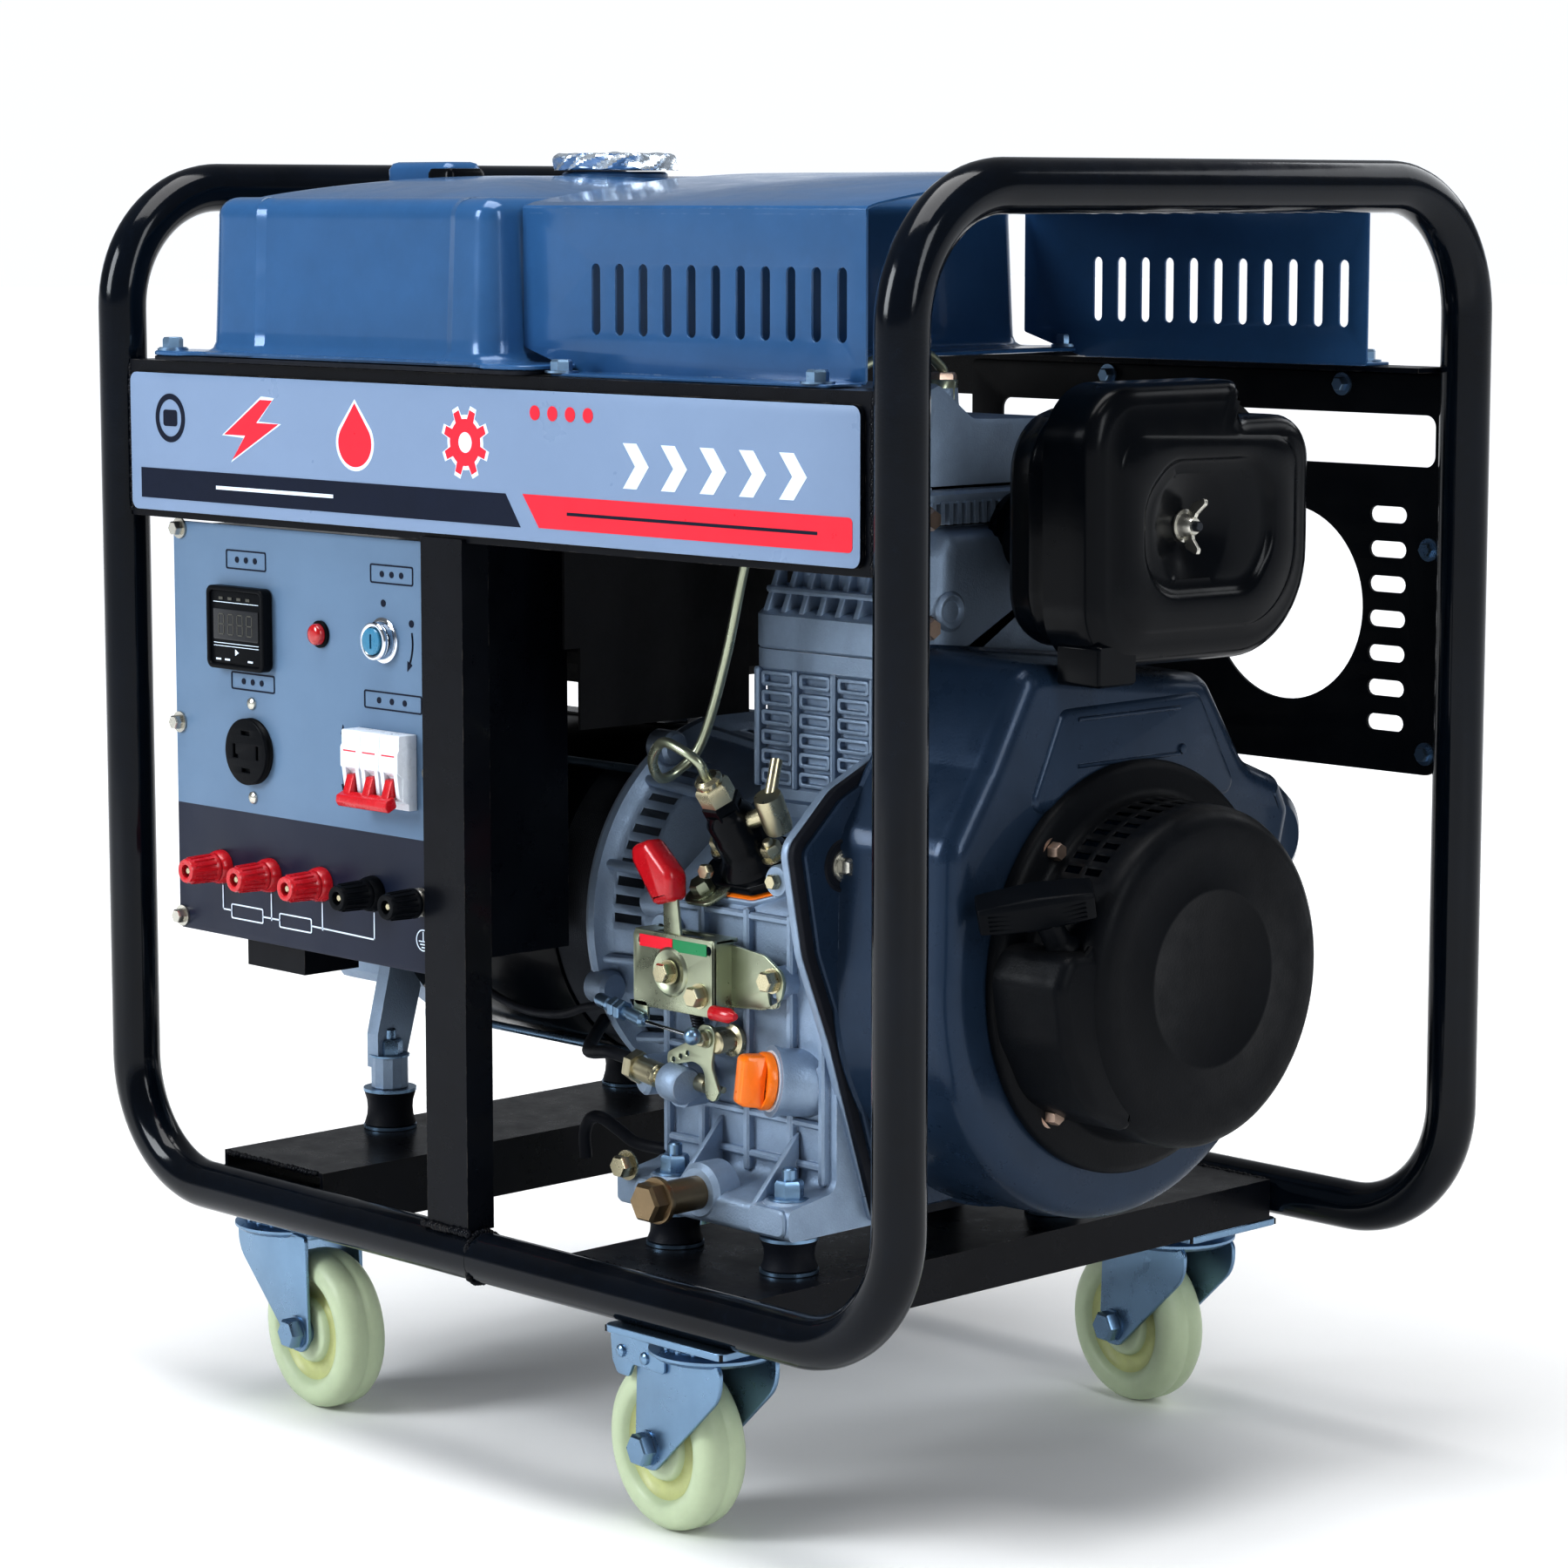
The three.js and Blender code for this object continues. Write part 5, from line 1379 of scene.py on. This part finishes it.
def polar(outline, centre, count=180):
    """An outline that is seen whole from a centre, as points at even angles."""
    middle = Vector(centre)
    points = [Vector(p) - middle for p in outline]
    done = []
    for i in range(count):
        a = 2 * math.pi * i / count
        ray = Vector((math.cos(a), math.sin(a)))
        best = 0.0
        for p, q in zip(points, points[1:] + points[:1]):
            edge = q - p
            cross = ray.x * edge.y - ray.y * edge.x
            if abs(cross) < 1e-9:
                continue
            t = (p.x * edge.y - p.y * edge.x) / cross
            s = (p.x * ray.y - p.y * ray.x) / cross
            if t > 0 and -1e-6 <= s <= 1 + 1e-6:
                best = max(best, t)
        done.append(tuple(middle + ray * best))
    return done


def air_cleaner():
    nut = Vector((13, 574))
    outline = rounded([(-72, 498), (117, 496), (117, 634), (56, 634), (53, 655), (-74, 655)],
                      [34, 60, 26, 3, 3, 37], 12)
    dish = rounded([(-30, 537), (60, 536), (78, 560), (77, 611), (-8, 612), (-31, 592)],
                   [30, 24, 34, 26, 26, 30], 8)
    rings = [(outline, 290.6), (outline, 312)]
    for i in range(1, 8):
        a = math.radians(90 * i / 7)
        rings.append((inset(outline, 12 * (1 - math.cos(a))), 316 + 12 * math.sin(a)))
    border = rounded([(-52, 516), (99, 514), (99, 622), (-52, 628)], [26, 46, 18, 20], 12)
    rings += [(border, 328.2), (inset(border, 1.2), 329), (inset(border, 3.6), 330.2),
              (inset(dish, -3.5), 330.2), (inset(dish, -1.6), 329.7), (dish, 328.4),
              (inset(dish, 1.4), 326.8), (inset(dish, 3.4), 326), (inset(dish, 8), 325.8)]
    rings += [(ring(nut.x, nut.y, r, 180), x) for r, x in ((33, 325.4), (30, 324.6), (22, 321.8),
                                                           (15, 319.6), (10, 318.6), (2, 318.4))]
    cover = Build("air_cleaner_cover_fine")
    cover.loft([[(x, u, v) for u, v in polar(loop, nut)] for loop, x in rings])
    cover.done("enamel", angle=45)
    base = Build("air_cleaner_base_fine")
    shape = rounded([(-70, 506), (112, 506), (112, 640), (-70, 640)], [34, 50, 28, 36], 9)
    base.stack("x", shape, [(10, 258.4), (5, 259), (1.6, 261.6), (0, 266), (0, 276), (-1.6, 278),
                            (-1.6, 282), (0, 284), (0, 290.2)])
    base.lathe([(0, 194.6), (26, 194.6), (26, 200), (22, 202), (22, 262), (0, 262)], (0, 10, 562), RIGHT, 48)
    base.stack("x", rect(-66, -34, 488, 512, 3), [(0, 296), (0, 325), (1.5, 327)])
    base.done("enamel", angle=40)
    wing = Build("wing_nut_fine")
    at = (0, nut.x, nut.y)
    wing.lathe([(0, 318.8), (9.4, 318.8), (9.4, 320), (7.4, 320.2), (6.6, 322), (5.6, 326), (4.6, 327.4),
                (0, 327.4)], at, RIGHT, 32)
    place = Matrix.Translation(at) @ Matrix.Rotation(math.radians(-12), 4, "X")
    for side in (-1, 1):
        blade = rounded([(4, 320), (13, 323.6), (16.4, 332.6), (12.6, 333), (7, 327.6), (3.6, 326.4)],
                        [1, 3, 1.6, 1.6, 2, 1])
        wing.plate("y", [[(x, side * v) for v, x in blade]], -1.5, 1.5, edge=0.5, place=place)
    wing.done("bolt", body="cleaner_nut", slot="yellow_zinc", angle=40)
    stud = Build("air_cleaner_stud")
    stud.lathe([(0, 318), (3, 318), (3, 330), (2.4, 331), (0, 331)], at, RIGHT, 20)
    stud.done("dark_steel", slot="ground_steel")


flywheel_shroud()
recoil_housing()
recoil_handle()
air_cleaner()

# ---------------------------------------------------------------- engine

SECTION = [(-178, 172), (100, 172), (100, 300), (80, 350), (74, 394), (-74, 394), (-97, 383), (-140, 352),
           (-140, 196), (-178, 190)]
FRONT_Y, BLOCK_Y = -140.0, -72.0
case_low, case_high = box_of("crankcase")
OIL_AXIS = Vector((-12, -27, 3)).normalized()
BAR_TURN = math.radians(66)
PUMP = Vector((113, -118.5, 367.5))
PUMP_LEAN = math.radians(35.8)
INJECTOR = (172, -30)
LEVER, ARM = Vector((86, 0, 312)), Vector((113, 0, 276))
ALT_FOOT = FROM_ROW @ centre_of("mount_alternator_rear")


def pad(build, u0, u1, v0, v1, y, proud, r=2.0):
    """A raised pad or rib on a face that looks to -Y."""
    build.stack("y", rect(u0, u1, v0, v1, r, 3), [(0, y + 1), (0, y - proud + 1.2), (1.2, y - proud)])


def crankcase():
    x0, x1 = case_low.x, case_high.x
    case = Build("crankcase_fine")
    rim = [(4, x0), (1.2, x0 + 1.2), (0, x0 + 4), (0, x1 - 3)]
    case.stack("x", rounded(SECTION, [4, 6, 20, 20, 10, 10, 14, 12, 8, 5]), rim)
    flange = rounded(CASE_FLANGE, CASE_CORNERS)
    case.plate("x", [flange], x1 - 6, x1 - 0.2, edge=1.2)
    case.stack("z", rect(62, 178, -72, 72, 12),
               [(0, 385), (0, 402), (-4, 405), (-4, 411), (0, 414), (0, 478), (-5, 482), (-5, 493)])
    for x in (63, 95, 127, 159):
        pad(case, x, x + 4, 411, 482, BLOCK_Y, 6, 1.5)
    for row in range(6):
        for x in (69, 101, 133):
            z = 413 + 11.6 * row
            frame_outline = rect(x - 1, x + 25, z, z + 9, 2.2, 4)
            case.plate("y", [frame_outline, rect(x + 1.6, x + 22.4, z + 2.4, z + 6.6, 1.2, 3)],
                       BLOCK_Y - 4.4, BLOCK_Y + 1, edge=0.7)
    for x in (56, 86, 124, 160, 186):
        pad(case, x, x + 5, 198, 352, FRONT_Y, 5)
    for z in (206, 230, 262, 345):
        pad(case, 56, 190, z, z + 4.5, FRONT_Y, 4)
    for x, z in ((62, 300), (157, 312), (113, 276), (60, 332), (157, 371)):
        case.lathe([(11, -6), (10, 0), (9.4, 8), (8.4, 9.4), (3.4, 9.4), (3.4, 6), (0, 6)],
                   (x, FRONT_Y, z), FRONT, 32)
    for y, z in ((-112, 376), (-128, 361)):
        case.lathe([(7, -8), (6.4, 8), (5.6, 9), (2.4, 9), (0, 7)], (188, y, z + 10), RIGHT, 24)
    case.lathe([(26, -16), (22, -4), (20, 8), (19.2, 24), (20.6, 27), (20.6, 29.4), (0, 29.4)],
               (172, -130, 254), OIL_AXIS, 48)
    case.lathe([(11, 0), (9.6, 14), (9.6, 30), (8.4, 31.4), (0, 31.4)], (56, -126, 343), LEFT, 30)
    case.lathe([(13, 0), (12, 12), (12, 20), (10, 22), (0, 22)], (62, -140, 246), (-0.35, -1, 0), 30)
    for x in (84, 180):
        pad(case, x - 15, x + 15, 174, 190, -166, 14, 5)
        case.lathe([(15, 186), (15, 191), (13.6, 192.4), (0, 192.4)], (x, -161, 0), UP, 36)
    for x in (100, 164):
        case.plate("x", [[(-176, 190), (-141, 190), (-141, 226)]], x, x + 4, edge=1)
    case.lathe([(17, 0), (17, 16), (14, 19), (0, 19)], (122, -160, 189.5), FRONT, 40)
    case.done("cast", angle=36)


def engine_bolts():
    zinc, yellow = Build("engine_nuts"), Build("engine_yellow_bolts")
    for x in (84, 180):
        zinc.bolt((x, -161, 192.4), UP, 15, 10, washer=12, stud=8)
    for side in (-1, 1):
        zinc.bolt((ALT_FOOT.x, side * ALT_FOOT.y, 207), UP, 15, 10, washer=13, stud=8)
    for x, y, z in ((101, -149.6, 371), (157, -149.6, 371)):
        yellow.bolt((x, y, z), FRONT, 8, 5)
    yellow.bolt((62, -178, 196), FRONT, 12, 8, washer=9)
    yellow.bolt((140, -76.5, 405), FRONT, 8, 5, washer=6)
    for y, z in ((-112, 386), (-128, 371)):
        yellow.bolt((197, y, z), RIGHT, 7, 4)
    zinc.done("zinc", angle=30)
    yellow.done("yellow_zinc", angle=30)
    drain = Build("oil_strainer_bolt")
    drain.lathe([(9.8, 0), (9.8, 30), (9.2, 31), (13.4, 31.6), (13.8, 33), (13.4, 35), (10, 35.6), (0, 35.6)],
                (122, -176, 189.5), FRONT, 40)
    drain.bolt((122, -211, 189.5), FRONT, 21, 10)
    drain.done("bronze", angle=30)


def cylinder_head():
    head = Build("cylinder_head_fine")
    low = box_of("cylinder_head")[0].z
    head.stack("z", rect(58, 194, -78, 78, 16),
               [(1.5, low), (0, low + 1.5), (0, low + 20), (3, low + 23), (8, low + 24)])
    head.stack("z", rect(74, 184, -62, 62, 14), [(0, low + 20), (0, 602)])
    for z in (528, 542, 556, 570, 584):
        head.stack("z", rect(63, 190, -75, 75, 14),
                   [(2.2, z - 2), (0.6, z - 1.6), (0, z), (0.6, z + 1.6), (2.2, z + 2)])
    for i in range(6):
        x = 70 + 15 * i
        head.plate("x", [[(-77, low + 22), (-60, low + 22), (-60, low + 54), (-63, low + 54)]], x, x + 4.5,
                   edge=1)
    cover = rounded([(-64, 588), (-64, 648), (-52, 652), (-24, 632), (44, 630), (58, 606), (58, 588)],
                    [3, 6, 5, 8, 16, 8, 3])
    head.stack("x", cover, [(5, 78), (1.4, 79.4), (0, 83), (0, 187), (1.4, 190.6), (5, 192)])
    head.stack("z", rect(70, 194, -68, 66, 10), [(0, 583), (0, 588), (2, 590)])
    for i in range(12):
        head.box((190, -62 + 7 * i, 571), (195, -58.8 + 7 * i, 584))
    head.lathe([(10, 0), (9, 6), (8.6, 14), (0, 14)], (*INJECTOR, 634), UP, 28)
    head.done("cast", angle=36)
    baffle = Build("cylinder_baffle")
    shape = rounded([(-70, 478), (74, 478), (74, 556), (66, 566), (-54, 568), (-63, 556)],
                    [3, 3, 8, 8, 10, 12])
    baffle.stack("x", shape, [(-3, 184), (-2, 188), (0, 194), (1.4, 198), (5, 201), (10, 202)])
    baffle.lathe([(6, 0), (7, 1.6), (9.6, 2.4), (11.6, 1.2), (12, 0)], (201.4, -54, 522), RIGHT, 30)
    baffle.done("cast", angle=45)
    # A dark sheet behind the head's fins: painted shade for the slots between them.
    slots = Build("head_slot_painted_shade")
    slots.plate("x", [rect(-64, 24, 570, 585, 1)], 189.6, 190.8)
    slots.done("heatproof")
    nuts = Build("head_bolts")
    nuts.bolt((197, -70, 513), RIGHT, 11, 7, washer=8)
    nuts.bolt((195, -68, 575), RIGHT, 11, 7, washer=8)
    nuts.bolt((*INJECTOR, 648), UP, 14, 9)
    nuts.done("copper_bolt", slot="yellow_zinc", angle=30)


def pump():
    place = Matrix.Translation(PUMP) @ Matrix.Rotation(PUMP_LEAN, 4, "X")
    body = Build("injection_pump_fine", place)
    foot = rounded([(-32, -13), (-14, -23), (14, -23), (32, -13), (32, 13), (14, 22), (-14, 22), (-32, 13)],
                   [12, 8, 8, 12, 12, 8, 8, 12])
    body.plate("z", [foot], 4.6, 11, edge=1)
    body.lathe([(22, 10), (20.5, 14), (16.4, 19), (15.6, 24), (15.6, 34), (14.6, 36), (14.6, 44), (13, 47),
                (11.6, 50), (11.6, 52), (0, 52)], (0, 0, 0), UP, 40)
    for side in (-1, 1):
        body.lathe([(8.4, 10), (8.4, 16), (7.4, 17), (0, 17)], (side * 21.5, 0, 0), UP, 24)
    body.bolt((0, 0, 48.6), UP, 21, 10)
    body.done("enamel", slot="dark_steel", angle=36)
    shims = Build("pump_shims", place)
    shims.plate("z", [inset(foot, -1.2)], 2.6, 3.5, edge=0.2)
    shims.done("orange")
    seat = Build("pump_seat", place)
    seat.plate("z", [inset(foot, -2.6)], -9, 2.4, edge=1)
    seat.done("cast")
    hold = Build("pump_holder", place)
    tab = rounded([(-34, -36), (-12, -36), (-4, -22), (-14, -11), (-34, -11)], [6, 6, 6, 6, 9])
    hold.plate("z", [tab], 3.8, 6.2, edge=0.5)
    hold.bolt((-23, -26, 6.4), UP, 11, 7, washer=8.6)
    hold.done("olive", angle=32)
    nuts = Build("pump_fittings", place)
    for side in (-1, 1):
        nuts.bolt((side * 21.5, 0, 17), UP, 11, 8, washer=8, stud=4)
    nuts.bolt((0, 0, 58), UP, 19, 12)
    nuts.lathe([(7.4, 68), (8.4, 70), (8.4, 73), (6.4, 75), (0, 75)], (0, 0, 0), UP, 30)
    nuts.lathe([(5.4, 12), (5.4, 30), (6.2, 31), (0, 31)], (0, 0, 38), (0.95, 0.25, 0.2), 26)
    nuts.lathe([(0, -13), (8, -12), (8.6, -9), (8.6, 9), (8, 12), (0, 13)], (30, 8, 44.5), (0.1, 0.1, 1), 26)
    nuts.lathe(drum(3.6, 0, 26), (31, 8, 52), (-0.2, 0.9, 0.5), 16)
    nuts.done("yellow_zinc", angle=32)
    sin, cos = math.sin(PUMP_LEAN), math.cos(PUMP_LEAN)
    route = [(PUMP.x, PUMP.y - 75 * sin, PUMP.z + 75 * cos), (PUMP.x, PUMP.y - 86 * sin, PUMP.z + 86 * cos),
             (101, -172, 444), (84, -170, 446), (68, -163, 434), (58, -148, 421), (58, -134, 424),
             (68, -124, 441), (84, -120, 490), (98, -118, 545), (108, -112, 590), (126, -98, 632),
             (150, -76, 660), (168, -50, 670), (172, -32, 660), (*INJECTOR, 650)]
    pipe = Build("injection_pipe_fine")
    pipe.tube(smooth_path(route, 8), 3.0, 6)
    pipe.lathe([(0, 640), (9, 640), (9, 652), (7, 654), (4.4, 655), (0, 655)], (*INJECTOR, 0), UP, 6)
    pipe.done("olive", angle=50)


def governor():
    plate = Build("governor_plate_fine")
    outline = rounded([(54, 289), (123, 289), (123, 334), (54, 334)], 4)
    plate.plate("y", [outline, ring(61, 328, 2.6, 18), ring(118, 328, 2.6, 18)], -166, -164, edge=0.4)
    plate.lathe([(16, 164.1), (14.6, 166.4), (13, 167.6), (10, 167), (8.6, 166.2), (0, 166.2)],
                (LEVER.x, 0, LEVER.z), FRONT, 40)
    plate.plate("z", [rect(54, 123, -165.6, -146, 2), rect(70, 109, -163, -151, 2)], 332, 334.2, edge=0.4)
    plate.plate("x", [rounded([(-166, 289), (-150, 289), (-150, 334), (-166, 334)], 1.5)], 121, 123, edge=0.4)
    wing = rounded([(121, 294), (150, 296), (164, 303), (167, 318), (150, 328), (121, 331)],
                   [2, 10, 8, 9, 12, 2])
    plate.plate("y", [wing, slot_outline(157, 304, 12, 6.4, 14)], -152.2, -150, edge=0.4)
    plate.plate("y", [rect(54, 66, 279, 292, 2)], -166, -164, edge=0.4)
    plate.lathe([(5, 140.4), (5, 164), (0, 164)], (LEVER.x, 0, LEVER.z), FRONT, 20)
    plate.done("olive", angle=32)
    bolts = Build("governor_bolts")
    for x, y, z in ((LEVER.x, -167, LEVER.z), (111, -166, 301), (157, -152, 314)):
        bolts.bolt((x, y, z), FRONT, 11, 7, washer=7.4)
    bolts.bolt((ARM.x, -163.4, ARM.z), FRONT, 8, 4, washer=5.4)
    bolts.lathe([(0, 0), (9.6, 0), (9.6, 3), (6.6, 4), (6.6, 15), (5.4, 16), (0, 16)],
                (ARM.x + 6, -146, ARM.z - 2), FRONT, 24)
    bolts.done("yellow_zinc", angle=30)
    for name, u0, u1 in (("sign_red", 60, 88), ("green", 88.4, 117)):
        strip = Build("governor_label_" + name)
        strip.plate("y", [rect(u0, u1, 324.5, 331.5)], -166.4, -166.05)
        strip.done(name)
    stop = Build("governor_stop_cap")
    stop.stack("x", ring(-167, 293, 4.4, 24), [(2, 121), (0, 123), (0, 137), (2.4, 142)])
    stop.done("red", angle=45)
    spring = Build("governor_spring")
    coil = [Vector((98 + 0.9 * t + 3.2 * math.cos(9 * t), -158 + 3.2 * math.sin(9 * t), 290 - 2.4 * t))
            for t in (i / 16 for i in range(190))]
    spring.tube(coil, 0.8, 2)
    spring.done("dark_steel", angle=60)


def throttle():
    x, z = LEVER.x, LEVER.z
    stem = Build("speed_lever_stem")
    outline = rounded([(x - 9, z - 8), (x + 9, z - 8), (x + 8, z + 8), (x + 2, z + 50), (x - 9, z + 48),
                       (x - 8, z + 8)], [6, 6, 6, 3, 3, 6])
    stem.plate("y", [outline, ring(x, z, 5.4, 28)], -163.6, -161.6, edge=0.4)
    stem.done("olive", body="throttle", replaces="speed_lever", angle=32)
    grip = Build("speed_lever_grip")
    shape = rounded([(x - 11, z + 38), (x + 4, z + 42), (x + 4, z + 58), (x - 17, z + 76), (x - 31, z + 71),
                     (x - 30, z + 62)], [3, 4, 10, 5, 5, 6], 8)
    grip.stack("y", shape, [(4.5, -170.4), (1.4, -169.2), (0, -166.4), (0, -158.6), (1.4, -155.8),
                            (4.5, -154.6)])
    grip.done("red", body="throttle", angle=50)
    x, z = ARM.x, ARM.z
    arm = Build("control_arm_fine")
    blade = rounded([(x - 34, z - 21), (x - 33, z - 12), (x - 8, z), (x - 6, z + 8), (x + 6, z + 8),
                     (x + 7, z - 1), (x + 4, z - 16), (x + 11, z - 30), (x + 7, z - 37), (x - 1, z - 35),
                     (x - 2, z - 18), (x - 11, z - 15)], [4, 4, 8, 5, 5, 5, 12, 4, 4, 4, 12, 10])
    holes = [ring(x - 28 + 6 * i, z - 16 + 2.6 * i, 1.5, 14) for i in range(3)]
    arm.plate("y", [blade, *holes], -163, -160.5, edge=0.5)
    arm.lathe([(5.5, 140.6), (5.5, 164.4), (4.8, 165), (0, 165)], (x, 0, z), FRONT, 26)
    arm.done("olive", body="governor_arm", angle=32)
    ball = Build("control_arm_ball")
    ball.lathe([(5.2 * math.sin(math.radians(15 * i)), -5.2 * math.cos(math.radians(15 * i)))
                for i in range(13)], (x - 3, -171, z + 2), UP, 24)
    ball.done("zinc", body="governor_arm", angle=60)


def stop_cable():
    sleeve = Build("control_cable_fine")
    route = [(27.5, -165, 285), (10, -164, 281), (-20, -158, 272), (-60, -150, 268), (-100, -146, 274),
             (-122, -146, 288), (-126, -146, 305)]
    sleeve.tube(smooth_path(route, 8), 2.6, 4)
    sleeve.done("rubber", angle=60)
    foot = Vector((24, -165, 287.5))
    way = Vector((39, -4, -6)).normalized()
    barrel = Build("cable_adjuster")
    barrel.lathe([(0, -3), (3.6, -2), (4.2, 0), (4.2, 9), (3.2, 10), (3.2, 30), (4.2, 31), (4.2, 42),
                  (2.4, 44), (0, 44)], foot, way, 24)
    for reach in (14, 20):
        barrel.bolt(foot + way * reach, way, 11, 4.4)
    barrel.done("zinc", angle=35)
    wire = Build("cable_wire")
    start, end = foot + way * 42, Vector((110, -171, 278))
    wire.tube([start.lerp(end, i / 12) for i in range(13)], 1.2, 2)
    piece = wire.done("chrome", body=None, slot="bluish_zinc", angle=60)
    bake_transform(piece)
    screws = Build("stop_screws")
    head, way = Vector((54, -160, 250)), Vector((1, -0.1, -0.1))
    screws.lathe([(0, 0), (7.4, 0), (7.4, 18), (5.6, 19), (5.6, 26), (0, 26)], head, way, 26)
    screws.bolt(head, -way, 17, 9)
    screws.lathe(drum(5.4, 0, 8), (97, -153.6, 247), (1, 0, -0.1), 24)
    screws.lathe(drum(2, 0, 14), (104, -153.6, 246.4), (1, 0, -0.1), 16)
    screws.done("yellow_zinc", angle=35)
    holder = Build("stop_screw_boss")
    holder.lathe([(0, 0), (10.5, 0), (11.4, 1.5), (11.4, 15), (10, 17), (0, 17)], (80, -161.5, 247), way, 30)
    holder.stack("y", rect(80, 96, 232, 260, 5), [(0, -161), (0, -139)])
    holder.done("cast", angle=40)


def hoses():
    """Short lines under the alternator and beside the sump."""
    lines = Build("drain_hoses")
    lines.tube(smooth_path([(46, -160, 254), (24, -158, 255), (-4, -148, 250), (-28, -128, 248),
                            (-46, -100, 258)], 8), 4, 4)
    lines.tube(smooth_path([(2, -158, 188), (1, -158, 202), (6, -158, 212), (15, -157, 214),
                            (24, -151, 207), (34, -146, 200), (54, -140, 198)], 8), 3.8, 4)
    lines.done("rubber", angle=60)


def oil_cap():
    cap = Build("oil_filler_cap_fine")
    at = Vector((160, -157, 257))
    cap.lathe([(0, 0.6), (15.6, 0.6), (16.6, 1.4), (16.8, 5), (16, 6.4), (14.8, 6.6), (13, 4.6), (0, 4.6)],
              at, OIL_AXIS, 56)
    turn = Vector(UP).rotation_difference(OIL_AXIS).to_matrix().to_4x4()
    place = Matrix.Translation(at) @ turn @ Matrix.Rotation(BAR_TURN, 4, "Z")
    bar = rounded([(-15.4, 3), (15.4, 3), (14.6, 17), (12.6, 19.4), (-12.6, 19.4), (-14.6, 17)],
                  [1, 1, 4, 4, 4, 4], 6)
    widths = ((2.4, -7), (0.7, -6.2), (0, -4.6), (0, 4.6), (0.7, 6.2), (2.4, 7))
    cap.loft([[place @ Vector((u, w, v)) for u, v in inset(bar, by)] for by, w in widths])
    cap.done("orange", body="oil_cap", angle=40)
    gasket = Build("oil_cap_gasket")
    gasket.lathe(drum(17.6, -0.6, 0.4), at, OIL_AXIS, 48)
    gasket.done("white", body="oil_cap", angle=40)


# ---------------------------------------------------------------- alternator, mounts, exhaust


def alternator():
    low, high = box_of("alternator_bracket")
    bracket = Build("alternator_bracket_fine")
    rows = [(60, low.x + 0.2), (112, low.x + 0.2), (118, low.x + 1.4), (119, low.x + 4), (118, low.x + 7),
            (113, low.x + 9), (108, low.x + 12), (107, low.x + 14), (104.6, low.x + 36), (104, low.x + 40),
            (102.6, low.x + 46), (101, low.x + 56), (99, high.x - 16), (100.5, high.x - 10),
            (100.5, high.x - 0.3), (60, high.x - 0.3)]
    bracket.lathe(rows, CRANK_LINE, RIGHT, 120, skip=lambda row, i: row == 7 and i % 30 > 8 and i % 2)
    for turn in range(0, 360, 30):
        a = math.radians(turn + 12)
        y, z = math.cos(a), math.sin(a)
        rib = [(low.x + 8, 112 * y, CRANK_Z + 112 * z), (high.x - 10, 101 * y, CRANK_Z + 101 * z)]
        bracket.tube(rib, 2.6, 3)
    for turn in (200, 320, 60, 120):
        a = math.radians(turn)
        at = (low.x + 1, 118 * math.cos(a), CRANK_Z + 118 * math.sin(a))
        bracket.lathe([(9.5, 0), (9.5, 14), (8, 16), (0, 16)], at, RIGHT, 28)
    bracket.done("cast", angle=36, thicken=2)
    body_low, body_high = box_of("alternator_stator")
    stator = Build("alternator_stator_fine")
    laminations = [(103.4 if i % 2 else 104, body_high.x - 46 + 0.75 * i) for i in range(60)]
    stator.lathe([(64, body_low.x), (103.5, body_low.x), (103.5, body_high.x - 47), *laminations,
                  (64, body_high.x)], CRANK_LINE, RIGHT, 72)
    stator.done("dark_steel", angle=20)
    wrap = Build("alternator_wrap")
    wrap.lathe([(104.2, body_low.x + 4), (106.4, body_low.x + 4), (107, body_low.x + 5),
                (107, body_high.x - 46), (106.4, body_high.x - 45), (104.2, body_high.x - 45)],
               CRANK_LINE, RIGHT, 96)
    wrap.box((body_low.x + 6, -10, CRANK_Z + 106), (body_high.x - 47, 10, CRANK_Z + 108))
    wrap.done("enamel", angle=50)
    rods = Build("alternator_tie_rods")
    for turn in (52, 128, 236, 308):
        a = math.radians(turn)
        y, z = 111 * math.cos(a), CRANK_Z + 111 * math.sin(a)
        rods.lathe(drum(2.6, body_low.x - 6, high.x - 84), (0, y, z), RIGHT, 16)
        rods.bolt((body_low.x - 4, y, z), LEFT, 9, 6, washer=6.6)
    rods.done("zinc", angle=35)


def rubber_mounts():
    for node in [name for name in frame["nodes"] if name.startswith("mount_")]:
        low, high = box_of(node)
        middle = (low + high) / 2
        r, height = (high.x - low.x) / 2, high.z - low.z
        mount = Build(node + "_fine")
        mount.lathe([(0, 2.2), (r - 1, 2.2), (r, 3), (r - 1.6, height * 0.32), (r - 2, height * 0.5),
                     (r - 1.6, height * 0.68), (r, height - 3), (r - 1, height - 2.2), (0, height - 2.2)],
                    (middle.x, middle.y, low.z), UP, 48)
        mount.done("rubber", angle=50)
        discs = Build(node + "_discs")
        for z in (0.1, height - 2.1):
            discs.lathe(drum(r + 0.6, z, z + 2), (middle.x, middle.y, low.z), UP, 48)
        discs.done("zinc", angle=35)


crankcase()
engine_bolts()
cylinder_head()
pump()
governor()
throttle()
stop_cable()
hoses()
oil_cap()
alternator()
rubber_mounts()
for node, width in (("muffler", 3.0), ("alternator_end_cover", 1.6), ("starter_motor", 2.0)):
    soften(frame["nodes"][node], width)
